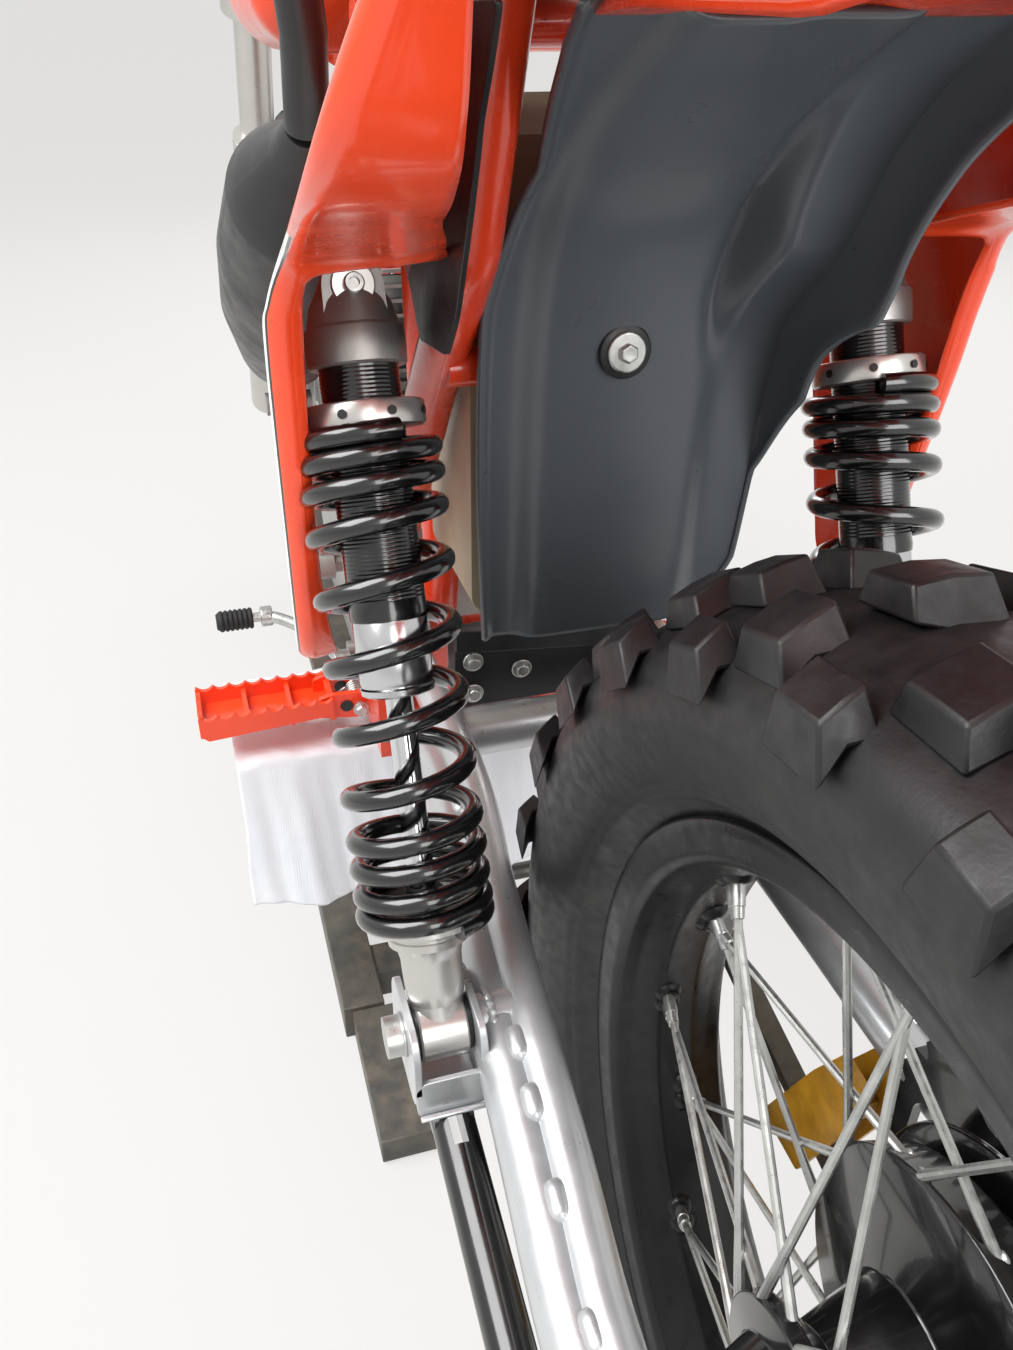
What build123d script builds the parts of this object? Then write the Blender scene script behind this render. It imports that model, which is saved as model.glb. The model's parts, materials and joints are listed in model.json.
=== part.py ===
"""Twin-shock enduro motorcycle standing on a workshop lift stand.

Millimetres. Every size is taken from the rear axle: X forward, Y to the bike's left, Z up.
The finished pieces are then set over the origin, which is on the floor under the middle.
"""

from build123d import *
import math
import os

os.makedirs("parts", exist_ok=True)

# Wheels
WHEELBASE = 1450
REAR_SEAT_R = 229.5
REAR_SECTION = 117.5
REAR_TYRE_R = REAR_SEAT_R + REAR_SECTION
REAR_TYRE_HALF = 68
REAR_RIM_HALF = 34
FRONT_SEAT_R = 267.5
FRONT_SECTION = 84.5
FRONT_TYRE_R = FRONT_SEAT_R + FRONT_SECTION
FRONT_TYRE_HALF = 46
FRONT_RIM_HALF = 24
RIM_FLANGE = 13.5
RIM_WALL = 4
WELL_DEPTH = 13
TYRE_GAP = 0.4
LUG_PITCHES = 26
LUG_PHASE = 80.65
LUG_H = 15
LUG_LENGTH = 27
SPOKE_COUNT = 36
SPOKE_D = 4
SPOKE_GAP = 0.8
WHEEL_LIFT = 43
RUN_GAP = 0.3

# Rear hub, sprocket and chain
REAR_AXLE_D = 20
REAR_AXLE_HALF = 128
HUB_BARREL_R = 27
HUB_HALF = 60
SPROCKET_R = 120.5
SPROCKET_T = 6
SPROCKET_TEETH = 48
CHAIN_Y = -81
CHAIN_R = 126.4
CHAIN_H = 9
CHAIN_W = 14
DRIVE_R = 35.7
DRIVE_X = 655
DRIVE_Z = 46

# Front end
RAKE = 29
FORK_SPREAD = 98
YOKE_OFFSET = 30
AXLE_LEAD = 34
FRONT_AXLE_D = 17
FORK_TUBE_D = 38
SLIDER_D = 56
LOWER_YOKE_S = 545
YOKE_T = 28
HEAD_LENGTH = 150
HEAD_GAP = 8
HEAD_D = 54
HEAD_BORE = 36
STEM_D = 28
BAR_D = 22.2
BAR_HALF = 410

# Frame
TUBE_D = 28
CRADLE_D = 28
PIVOT_X = 575
PIVOT_Z = 50
PIVOT_HALF = 104
PIVOT_D = 16
CRADLE_Y = 52
CRADLE_Z = -52
RAIL_Y = 90
RAIL_Z = 512

# Twin shocks
SHOCK_Y = 140
SHOCK_X = 215
SHOCK_Z = 17
SHOCK_LEAN = 23.2
SHOCK_LENGTH = 405
SHOCK_BODY_D = 42
SHOCK_ROD_D = 14.5
SPRING_D = 74
SPRING_WIRE = 11
SPRING_BOTTOM = 78
SPRING_TOP = SHOCK_LENGTH - 87
SPRING_TURNS = 11
EYE_BOLT_D = 12

# Swingarm
ARM_D = 26
ARM_OUTER_D = 32
ARM_AXLE_Y = 108
CROSS_D = 36
CROSS_HALF = 79
CROSS_X = 462
CROSS_Z = 26

# Engine
COVER_T = 32

# Side panels
PANEL_T = 3
PANEL_LEAN = 0.38

# Side stand
STAND_HINGE_X = 196
STAND_HINGE_Z = -29
STAND_LENGTH = 320
STAND_D = 24
STAND_PIN_D = 8

# Lift stand
DECK_T = 14
DECK_X = (600, 930)
DECK_HALF = 222
BASE_X = (560, 1000)
BASE_HALF = 160
BASE_T = 40
CLOTH_T = 2
CLOTH_DROP = 165

FRONT_AXLE_Z = FRONT_TYRE_R - REAR_TYRE_R
FLOOR_Z = -REAR_TYRE_R - WHEEL_LIFT
DECK_TOP = CRADLE_Z - CRADLE_D / 2 - CLOTH_T - 2 * RUN_GAP
MID_X = (WHEELBASE + FRONT_TYRE_R - REAR_TYRE_R) / 2

# Steering axis: from the foot of the front axle's normal, up along the head
AXIS_DIR = Vector(-math.sin(math.radians(RAKE)), 0, math.cos(math.radians(RAKE)))
AXIS_OUT = Vector(math.cos(math.radians(RAKE)), 0, math.sin(math.radians(RAKE)))
FRONT_AXLE = Vector(WHEELBASE, 0, FRONT_AXLE_Z)
AXIS_FOOT = FRONT_AXLE - AXIS_OUT * (YOKE_OFFSET + AXLE_LEAD)
LEFT = Vector(0, 1, 0)
SHOCK_DIR = Vector(math.sin(math.radians(SHOCK_LEAN)), 0, math.cos(math.radians(SHOCK_LEAN)))

PIECES = {}


def keep(label, piece):
    """Remember a finished piece under its node name."""
    PIECES[label] = piece


def axis_point(s, out=0, side=0):
    """Point at distance s up the steering axis, out in front of it and to the left."""
    return AXIS_FOOT + AXIS_DIR * s + AXIS_OUT * out + LEFT * side


def bar(start, end, diameter, mode=Mode.ADD):
    """Straight round bar from one point to another."""
    start = Vector(start)
    run = Vector(end) - start
    with BuildSketch(Plane(origin=start, z_dir=run)) as section:
        Circle(diameter / 2)
    extrude(section.sketch, amount=run.length, mode=mode)


def pipe(points, bend, diameter, mode=Mode.ADD):
    """Round tube along straight runs joined by tangent arcs."""
    with BuildLine() as route:
        FilletPolyline(*points, radius=bend)
    with BuildSketch(Plane(origin=route.line @ 0, z_dir=route.line % 0)) as section:
        Circle(diameter / 2)
    sweep(section.sketch, path=route.line, mode=mode)


def block(low, high, mode=Mode.ADD):
    """Box from its lowest corner to its highest."""
    middle = (Vector(low) + Vector(high)) * 0.5
    span = Vector(high) - Vector(low)
    with Locations(middle):
        Box(span.X, span.Y, span.Z, mode=mode)


def side_plate(outline, y_low, y_high, corner=0, mode=Mode.ADD):
    """Plate in the bike's side view, from outline points (x, z), between two Y values."""
    with BuildSketch(Plane.XZ.offset(-y_high)) as shape:
        with BuildLine():
            Polyline(*outline, close=True)
        make_face()
        if corner:
            fillet(shape.vertices(), radius=corner)
    extrude(shape.sketch, amount=y_high - y_low, mode=mode)


def cross_loft(stations, mode=Mode.ADD):
    """Loft along X through rounded rectangles (x, half width, low z, high z, corner)."""
    sections = []
    for x, half, low, high, corner in stations:
        with BuildSketch(Plane.YZ.offset(x)) as section:
            with Locations((0, (low + high) / 2)):
                RectangleRounded(2 * half, high - low, corner)
        sections.append(section.sketch)
    loft(sections, ruled=True, mode=mode)


def ribbon(stations, thickness, mode=Mode.ADD):
    """Curved strip through flat sections (x, z, half width), each square to the strip."""
    sections = []
    points = [Vector(x, 0, z) for x, z, _ in stations]
    for index, (_, _, half) in enumerate(stations):
        ahead = points[min(index + 1, len(points) - 1)]
        behind = points[max(index - 1, 0)]
        with BuildSketch(Plane(origin=points[index], x_dir=LEFT, z_dir=ahead - behind)) as section:
            Rectangle(2 * half, thickness)
        sections.append(section.sketch)
    loft(sections, ruled=True, mode=mode)


def cigar(stations):
    """Round body through discs (x, y, z, radius), each square to the line through it."""
    sections = []
    points = [Vector(x, y, z) for x, y, z, _ in stations]
    for index, (_, _, _, radius) in enumerate(stations):
        ahead = points[min(index + 1, len(points) - 1)]
        behind = points[max(index - 1, 0)]
        with BuildSketch(Plane(origin=points[index], x_dir=LEFT, z_dir=ahead - behind)) as section:
            Circle(radius)
        sections.append(section.sketch)
    loft(sections, ruled=True)


def ring(centre, profile, mode=Mode.ADD):
    """Revolve a closed profile of (y, radius) points about the wheel's own axle."""
    with BuildSketch(Plane(origin=centre, x_dir=(0, 1, 0), z_dir=(1, 0, 0))) as section:
        with BuildLine():
            Polyline(*profile, close=True)
        make_face()
    revolve(section.sketch, axis=Axis(centre, (0, 1, 0)), mode=mode)


def rim(centre, seat_r, half):
    """Wheel rim: two flanges, bead seats and a well between them."""
    flange_r = seat_r + RIM_FLANGE
    well_half = half / 2
    well_r = seat_r - WELL_DEPTH
    top = [(half + RIM_WALL, flange_r), (half, flange_r), (half, seat_r), (well_half, well_r)]
    under = [(well_half, well_r - RIM_WALL), (half + RIM_WALL, seat_r - RIM_WALL)]
    profile = top + [(-y, r) for y, r in reversed(top)]
    profile += [(-y, r) for y, r in reversed(under)] + under
    ring(centre, profile)


def facet_ring(centre, profile, facets):
    """Ring of flat facets round the wheel's axle, from a closed profile of (y, radius) points.

    The first facet's middle is LUG_PHASE degrees above forward.
    """
    spots = []
    for index in range(facets):
        turn = math.radians(LUG_PHASE) + 2 * math.pi * (index + 0.5) / facets
        spots.append([centre + Vector(r * math.cos(turn), y, r * math.sin(turn)) for y, r in profile])
    faces = []
    for index, here in enumerate(spots):
        ahead = spots[(index + 1) % facets]
        for corner in range(len(profile)):
            after = (corner + 1) % len(profile)
            faces.append(Face(Wire.make_polygon([here[corner], here[after], ahead[after],
                                                 ahead[corner]], close=True)))
    add(Solid(Shell(faces)))


# Rows of tyre lugs: (inner y, outer y, root below the tip inside, root below it outside, first
# angle and spacing in pitches); y is a share of the tyre's half width
REAR_LUGS = ((0.75, 0.985, 26, 34, 0, 1), (0.32, 0.68, 19, 22, 0.5, 2), (-0.22, 0.22, 20, 20, 1.5, 2))
FRONT_LUGS = ((0.68, 0.985, 22, 37, 0, 1), (-0.3, 0.3, 20, 20, 0.5, 1))


def tyre(centre, seat_r, rim_half, half, crown_r, shoulder_drop, rows):
    """Off-road tyre: a carcass of one facet to a pitch, with rows of lugs standing on it."""
    flange_r = seat_r + RIM_FLANGE
    bead = rim_half - TYRE_GAP
    right = [(half * 0.42, crown_r - LUG_H - 3), (half * 0.72, crown_r - LUG_H - 14),
             (half * 0.91, crown_r - LUG_H - 36), (half * 0.76, flange_r + 16), (bead, flange_r + 1),
             (bead, seat_r + TYRE_GAP)]
    round_up = 1 / math.cos(math.pi / LUG_PITCHES)
    profile = [(y, r * round_up) for y, r in right]
    facet_ring(centre, profile + [(-y, r) for y, r in reversed(profile)], LUG_PITCHES)
    pitch = 360 / LUG_PITCHES
    for inner, outer, root, edge, first, every in rows:
        tip = [crown_r - shoulder_drop * share ** 2 for share in (inner, outer)]
        outline = [(inner * half, tip[0]), (outer * half, tip[1]), (outer * half, tip[1] - edge),
                   (inner * half, tip[0] - root)]
        for side in (1, -1) if inner > 0 else (1,):
            with BuildPart(mode=Mode.PRIVATE) as lug:
                with BuildSketch(Plane(origin=centre, x_dir=(0, 1, 0), z_dir=(1, 0, 0))) as section:
                    with BuildLine():
                        Polyline(*[(side * y, r) for y, r in outline], close=True)
                    make_face()
                extrude(section.sketch, amount=LUG_LENGTH / 2, both=True)
            turned = [lug.part.rotate(Axis(centre, (0, 1, 0)),
                                      90 - LUG_PHASE + pitch * (first + every * index))
                      for index in range(LUG_PITCHES // every)]
            add(turned)


def spokes(centre, rim_r, rim_half, flanges):
    """Tangent spokes from the hub's flanges, each row a table entry (side, y, radius)."""
    per_row = SPOKE_COUNT // 4
    step = 360 / per_row
    reach = rim_r - SPOKE_GAP
    for row, (side, y, flange_r) in enumerate(flanges):
        for lean in (-1, 1):
            for index in range(per_row):
                at_hub = math.radians(step * (index + 0.5 * row) + lean * step / 8)
                at_rim = at_hub + lean * math.radians(0.9 * step)
                start = centre + Vector(flange_r * math.cos(at_hub), y, flange_r * math.sin(at_hub))
                end = centre + Vector(reach * math.cos(at_rim), side * rim_half * 0.2,
                                      reach * math.sin(at_rim))
                bar(start, end, SPOKE_D)


REAR = Vector(0, 0, 0)

# Wheels: tyre, rim, then hub with its spokes
with BuildPart() as rear_tyre:
    tyre(REAR, REAR_SEAT_R, REAR_RIM_HALF, REAR_TYRE_HALF, REAR_TYRE_R, 27, REAR_LUGS)
keep("rear_tyre", rear_tyre)

with BuildPart() as rear_rim:
    rim(REAR, REAR_SEAT_R, REAR_RIM_HALF)
keep("rear_rim", rear_rim)

REAR_FLANGES = ((1, 46, 40), (-1, -24, 84))
with BuildPart() as rear_hub:
    bore = REAR_AXLE_D / 2 + RUN_GAP
    spokes(REAR, REAR_SEAT_R - WELL_DEPTH - RIM_WALL, REAR_RIM_HALF, REAR_FLANGES)
    ring(REAR, [(-HUB_HALF, bore), (-HUB_HALF, 86), (-30, 86), (-20, 88), (-18, 80), (-8, 38),
                (30, HUB_BARREL_R), (42, 44), (50, 44), (52, 30), (78, 24), (78, bore)])
keep("rear_hub", rear_hub)

with BuildPart() as sprocket:
    inner = CHAIN_Y + SPROCKET_T / 2
    with BuildSketch(Plane.XZ.offset(-inner)) as wheel:
        with BuildLine():
            Polyline(*[(radius * math.cos(turn), radius * math.sin(turn))
                       for tooth in range(SPROCKET_TEETH)
                       for share, radius in ((0.15, SPROCKET_R), (0.4, SPROCKET_R - 7),
                                             (0.6, SPROCKET_R - 7), (0.85, SPROCKET_R))
                       for turn in [2 * math.pi * (tooth + share) / SPROCKET_TEETH]], close=True)
        make_face()
        Circle(40, mode=Mode.SUBTRACT)
    extrude(wheel.sketch, amount=SPROCKET_T)
    with BuildSketch(Plane.XZ.offset(-inner)) as windows:
        with PolarLocations(88, 6):
            SlotOverall(52, 26, rotation=90)
    extrude(windows.sketch, amount=SPROCKET_T, mode=Mode.SUBTRACT)
    for index in range(6):
        turn = math.radians(60 * index + 30)
        hold = Vector(62 * math.cos(turn), 0, 62 * math.sin(turn))
        bar(hold + LEFT * inner, hold + LEFT * (-HUB_HALF), 14)
keep("sprocket", sprocket)

with BuildPart() as front_tyre:
    tyre(FRONT_AXLE, FRONT_SEAT_R, FRONT_RIM_HALF, FRONT_TYRE_HALF, FRONT_TYRE_R, 22, FRONT_LUGS)
keep("front_tyre", front_tyre)

with BuildPart() as front_rim:
    rim(FRONT_AXLE, FRONT_SEAT_R, FRONT_RIM_HALF)
keep("front_rim", front_rim)

FRONT_FLANGES = ((1, 36, 66), (-1, -36, 66))
with BuildPart() as front_hub:
    bore = FRONT_AXLE_D / 2 + RUN_GAP
    spokes(FRONT_AXLE, FRONT_SEAT_R - WELL_DEPTH - RIM_WALL, FRONT_RIM_HALF, FRONT_FLANGES)
    ring(FRONT_AXLE, [(-44, bore), (-44, 64), (-40, 70), (-32, 70), (-28, 64), (28, 64), (32, 70),
                      (40, 70), (44, 62), (50, 24), (66, 20), (66, bore)])
keep("front_hub", front_hub)

# Axles and brake plate
with BuildPart() as rear_axle:
    bar((0, -REAR_AXLE_HALF, 0), (0, REAR_AXLE_HALF, 0), REAR_AXLE_D)
    bar((0, REAR_AXLE_HALF - 8, 0), (0, REAR_AXLE_HALF, 0), 32)
    bar((0, -REAR_AXLE_HALF, 0), (0, -REAR_AXLE_HALF + 8, 0), 32)
    bar((0, -REAR_AXLE_HALF, 0), (0, REAR_AXLE_HALF, 0), 10, mode=Mode.SUBTRACT)
keep("rear_axle", rear_axle)

with BuildPart() as front_axle:
    bar(FRONT_AXLE - LEFT * 122, FRONT_AXLE + LEFT * 122, FRONT_AXLE_D)
    bar(FRONT_AXLE - LEFT * 122, FRONT_AXLE + LEFT * 122, 8, mode=Mode.SUBTRACT)
keep("front_axle", front_axle)

with BuildPart() as front_brake_plate:
    ring(FRONT_AXLE, [(-45 - 5, FRONT_AXLE_D / 2 + 0.1), (-50, 66), (-56, 66), (-64, 40), (-69.3, 24),
                      (-69.3, FRONT_AXLE_D / 2 + 0.1)])
    bar(FRONT_AXLE + Vector(-30, -54, 30), FRONT_AXLE + Vector(-30, -68, 30), 16)
keep("front_brake_plate", front_brake_plate)

# Fork, yokes and handlebar
FORK_TOP = LOWER_YOKE_S + YOKE_T + HEAD_GAP + HEAD_LENGTH + HEAD_GAP + YOKE_T
BAR_S = FORK_TOP + 48
for side, word in ((1, "left"), (-1, "right")):
    with BuildPart() as fork:
        low = axis_point(0, YOKE_OFFSET, side * FORK_SPREAD)
        bar(low - AXIS_DIR * 24, low + AXIS_DIR * 400, SLIDER_D)
        bar(low + AXIS_DIR * 400, low + AXIS_DIR * (FORK_TOP + 14), FORK_TUBE_D)
        boss = FRONT_AXLE + LEFT * side * FORK_SPREAD
        bar(boss - LEFT * 18, boss + LEFT * 18, 42)
        bar(boss, low, 34)
        bar(boss - LEFT * 30, boss + LEFT * 30, FRONT_AXLE_D + 0.4, mode=Mode.SUBTRACT)
    keep("fork_" + word, fork)

TOP_YOKE_S = FORK_TOP - YOKE_T
with BuildPart() as yokes:
    for s, width in ((LOWER_YOKE_S, 50), (TOP_YOKE_S, 44)):
        flat = Plane(origin=axis_point(s), x_dir=AXIS_OUT, z_dir=AXIS_DIR)
        with BuildSketch(flat) as shape:
            with Locations((YOKE_OFFSET / 2 + 8, 0)):
                Rectangle(width, 2 * FORK_SPREAD)
            Circle(22)
            with Locations((YOKE_OFFSET, FORK_SPREAD), (YOKE_OFFSET, -FORK_SPREAD)):
                Circle(FORK_TUBE_D / 2 + 12)
        extrude(shape.sketch, amount=YOKE_T)
    bar(axis_point(LOWER_YOKE_S), axis_point(TOP_YOKE_S + YOKE_T), STEM_D)
    for s in (LOWER_YOKE_S + YOKE_T, TOP_YOKE_S - HEAD_GAP - 14):
        bar(axis_point(s), axis_point(s + HEAD_GAP + 14), HEAD_BORE - 2 * RUN_GAP)
    for side in (1, -1):
        leg = (YOKE_OFFSET, side * FORK_SPREAD)
        bar(axis_point(LOWER_YOKE_S - 10, *leg), axis_point(FORK_TOP + 10, *leg),
            FORK_TUBE_D + 0.4, mode=Mode.SUBTRACT)
    for side in (1, -1):
        foot = (12, side * 42)
        bar(axis_point(FORK_TOP - 4, *foot), axis_point(FORK_TOP + 62, *foot), 26)
    bar(axis_point(BAR_S, 12, -80), axis_point(BAR_S, 12, 80), BAR_D + 0.4, mode=Mode.SUBTRACT)
keep("yokes", yokes)

with BuildPart() as handlebar:
    for side in (1, -1):
        pipe([axis_point(BAR_S, 12, 0), axis_point(BAR_S, 12, side * 92),
              axis_point(BAR_S + 78, -2, side * 190), axis_point(BAR_S + 60, -84, side * BAR_HALF)],
             34, BAR_D)
    bar(axis_point(BAR_S + 52, 3, -158), axis_point(BAR_S + 52, 3, 158), 12)
keep("handlebar", handlebar)

for side, word in ((1, "left"), (-1, "right")):
    with BuildPart() as control:
        end = axis_point(BAR_S + 60, -84, side * BAR_HALF)
        bend = axis_point(BAR_S + 78, -2, side * 190)
        back = (bend - end).normalized()
        bar(end + back * 2, end + back * 122, 34)
        bar(end + back * 118, end + back * 160, 36)
        ahead = AXIS_OUT * 34
        bar(end + back * 143, end + back * 143 + ahead, 18)
        bar(end + back * 143 + ahead, end + back * 6 + AXIS_OUT * 52, 11)
        bar(end - back * 30, end + back * 190, BAR_D + 0.4, mode=Mode.SUBTRACT)
    keep("control_" + word, control)

GUARD_TOP = FRONT_AXLE_Z + FRONT_TYRE_R + 127
with BuildPart() as front_mudguard:
    ribbon([(1178, GUARD_TOP - 68, 44), (1330, GUARD_TOP - 16, 62), (1480, GUARD_TOP, 66),
            (1640, GUARD_TOP - 22, 62), (1760, GUARD_TOP - 64, 50)], 4)
    bar(axis_point(LOWER_YOKE_S - RUN_GAP, 42, 0), axis_point(LOWER_YOKE_S - 62, 42, 0), 36)
keep("front_mudguard", front_mudguard)

with BuildPart() as headlamp_cowl:
    front = Plane(origin=axis_point(LOWER_YOKE_S + 134, 61.3), x_dir=LEFT, z_dir=AXIS_OUT)
    sections = []
    for depth, width, tall in ((0, 190, 230), (34, 176, 216), (74, 140, 170)):
        with BuildSketch(front.offset(depth)) as section:
            RectangleRounded(width, tall, 40)
        sections.append(section.sketch)
    loft(sections, ruled=True)
    with BuildSketch(front.offset(40)) as hole:
        with Locations((0, -10)):
            Circle(62)
    extrude(hole.sketch, amount=60, mode=Mode.SUBTRACT)
keep("headlamp_cowl", headlamp_cowl)

with BuildPart() as headlamp:
    lamp = Plane(origin=axis_point(LOWER_YOKE_S + 134, 61.3), x_dir=LEFT, z_dir=AXIS_OUT).offset(40)
    sections = []
    for depth, radius in ((0, 61.5), (32, 61.5), (44, 50)):
        with BuildSketch(lamp.offset(depth)) as section:
            with Locations((0, -10)):
                Circle(radius)
        sections.append(section.sketch)
    loft(sections, ruled=True)
keep("headlamp", headlamp)

# Frame: spine and head, cradle, rear rails
HEAD_LOW = axis_point(LOWER_YOKE_S + YOKE_T + HEAD_GAP)
HEAD_HIGH = HEAD_LOW + AXIS_DIR * HEAD_LENGTH
HEAD_MID = (HEAD_LOW + HEAD_HIGH) * 0.5
SPINE_START = HEAD_MID + AXIS_DIR * 20
SPINE_END = Vector(600, 0, 470)
TUNNEL_TOP = 40
with BuildPart() as frame_spine:
    bar(HEAD_LOW, HEAD_HIGH, HEAD_D)
    bar(SPINE_START, SPINE_END, 46)
    bar(HEAD_LOW + AXIS_DIR * 30, SPINE_END + Vector(150, 0, -12), 28)
    bar(SPINE_END + Vector(0, -RAIL_Y, 0), SPINE_END + Vector(0, RAIL_Y, 0), TUBE_D)
    bar(HEAD_LOW - AXIS_DIR * 5, HEAD_HIGH + AXIS_DIR * 5, HEAD_BORE, mode=Mode.SUBTRACT)
keep("frame_spine", frame_spine)

with BuildPart() as frame_cradle:
    throat = HEAD_LOW + AXIS_DIR * 40
    bar(throat, (985, 0, 250), 36)
    for side in (1, -1):
        pipe([(995, 0, 270), (960, side * CRADLE_Y, 170), (930, side * CRADLE_Y, CRADLE_Z),
              (600, side * CRADLE_Y, CRADLE_Z), (PIVOT_X, side * CRADLE_Y, 60),
              (558, side * CRADLE_Y, 130), (545, side * 62, 260), (560, side * 62, 400),
              (592, side * 62, 468)], 30, CRADLE_D)
        side_plate([(545, -46), (612, -46), (612, 100), (545, 112)],
                   side * PIVOT_HALF - 6, side * PIVOT_HALF + 6)
    bar((PIVOT_X, -PIVOT_HALF - 14, PIVOT_Z), (PIVOT_X, PIVOT_HALF + 14, PIVOT_Z), PIVOT_D)
    bar((598, -PIVOT_HALF, -32), (598, PIVOT_HALF, -32), 22)
    for x in (700, 880):
        bar((x, -CRADLE_Y, CRADLE_Z), (x, CRADLE_Y, CRADLE_Z), 20)
    bar(HEAD_LOW - AXIS_DIR * 5, HEAD_HIGH + AXIS_DIR * 5, HEAD_BORE, mode=Mode.SUBTRACT)
    add(frame_spine.part, mode=Mode.SUBTRACT)
keep("frame_cradle", frame_cradle)

EYE_TOP = Vector(SHOCK_X, SHOCK_Y, SHOCK_Z) + SHOCK_DIR * SHOCK_LENGTH
# Outline of the plate that holds the upper shock stud, (x, z) from the stud
SHOCK_PLATE = ((-57, -23), (-3, -27), (21, -11), (19, 15), (-9, 23), (-69, 35))
with BuildPart() as frame_rear:
    for side in (1, -1):
        pipe([(610, side * RAIL_Y, RAIL_Z), (225, side * RAIL_Y, RAIL_Z), (20, side * 74, 540),
              (-60, side * 40, 548)], 60, 22)
        pipe([(544, side * (RAIL_Y + 16), 90), (413, side * RAIL_Y, 299),
              (EYE_TOP.X - 50, side * RAIL_Y, EYE_TOP.Z + 2), (272, side * RAIL_Y, RAIL_Z)], 60, TUBE_D)
        side_plate([(EYE_TOP.X + x, EYE_TOP.Z + z) for x, z in SHOCK_PLATE],
                   side * 104 - 4, side * 104 + 4)
        stud = Vector(EYE_TOP.X, 0, EYE_TOP.Z)
        bar(stud + LEFT * side * 104, stud + LEFT * side * (SHOCK_Y + 16.5), EYE_BOLT_D)
    bar((-58, -48, 548), (-58, 48, 548), 22)
    bar((378, -RAIL_Y, 322), (378, RAIL_Y, 322), 20)
    for other in (frame_spine, frame_cradle):
        add(other.part, mode=Mode.SUBTRACT)
keep("frame_rear", frame_rear)

# Swingarm: two legs, the left one with the side stand's lug, and the tube between them. Each leg is
# an inner and an outer tube welded side by side, a pivot boss, an axle plate and a shock clevis.
CLEVIS_X = (188, 246)
CLEVIS_Z = (-14, 34)
CLEVIS_T = 4
HINGE = Vector(STAND_HINGE_X, SHOCK_Y, STAND_HINGE_Z)
for side, word in ((-1, "right"), (1, "left")):
    with BuildPart() as leg:
        pipe([(PIVOT_X, side * 80, PIVOT_Z), (400, side * 78, 37), (300, side * 88, 28),
              (130, side * (ARM_AXLE_Y - 10), 9), (-5, side * ARM_AXLE_Y, 0)], 120, ARM_D)
        pipe([(440, side * 91, 24), (300, side * 102, 20), (130, side * (ARM_AXLE_Y + 7), 3),
              (30, side * (ARM_AXLE_Y + 8), -6)], 120, ARM_OUTER_D)
        boss = Vector(PIVOT_X, 0, PIVOT_Z)
        bar(boss + LEFT * side * 70, boss + LEFT * side * (PIVOT_HALF - 6.3), 44)
        side_plate([(-42, -22), (44, -26), (44, 22), (-42, 20)],
                   side * (ARM_AXLE_Y + 2) - 7, side * (ARM_AXLE_Y + 2) + 7, 8)
        bar((SHOCK_X, side * 92, SHOCK_Z), (SHOCK_X, side * 122, SHOCK_Z), 26)
        low, high = sorted((side * (SHOCK_Y - 20), side * (SHOCK_Y + 20)))
        block((CLEVIS_X[0], low, CLEVIS_Z[0]), (CLEVIS_X[1], high, CLEVIS_Z[1]))
        block((CLEVIS_X[0] - 8, low + CLEVIS_T, CLEVIS_Z[0] + CLEVIS_T),
              (CLEVIS_X[1] + 4, high - CLEVIS_T, CLEVIS_Z[1] + 6), mode=Mode.SUBTRACT)
        if word == "left":
            block(HINGE - Vector(9, 3, 0), Vector(HINGE.X + 9, SHOCK_Y + 3, CLEVIS_Z[0] + 2))
            bar(HINGE - LEFT * 3, HINGE + LEFT * 3, 22)
            bar(HINGE - LEFT * 20, HINGE + LEFT * 20, STAND_PIN_D + 2 * RUN_GAP, mode=Mode.SUBTRACT)
        low = Vector(SHOCK_X, 0, SHOCK_Z)
        bar(low + LEFT * side * 100, low + LEFT * side * 175, EYE_BOLT_D + 0.4, mode=Mode.SUBTRACT)
        bar(boss, boss + LEFT * side * 130, PIVOT_D + 0.4, mode=Mode.SUBTRACT)
        bar((0, 0, 0), (0, side * 130, 0), REAR_AXLE_D + 0.4, mode=Mode.SUBTRACT)
        bar((0, side * 117.2, 0), (0, side * 132, 0), 36, mode=Mode.SUBTRACT)
        add(frame_cradle.part, mode=Mode.SUBTRACT)
    keep("swingarm_" + word, leg)

with BuildPart() as swingarm_cross:
    bar((CROSS_X, -CROSS_HALF, CROSS_Z), (CROSS_X, CROSS_HALF, CROSS_Z), CROSS_D)
    for word in ("left", "right"):
        add(PIECES["swingarm_" + word].part, mode=Mode.SUBTRACT)
    middle = max(swingarm_cross.solids(), key=lambda piece: piece.volume)
with BuildPart() as swingarm_cross:
    add(middle)
keep("swingarm_cross", swingarm_cross)

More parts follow.
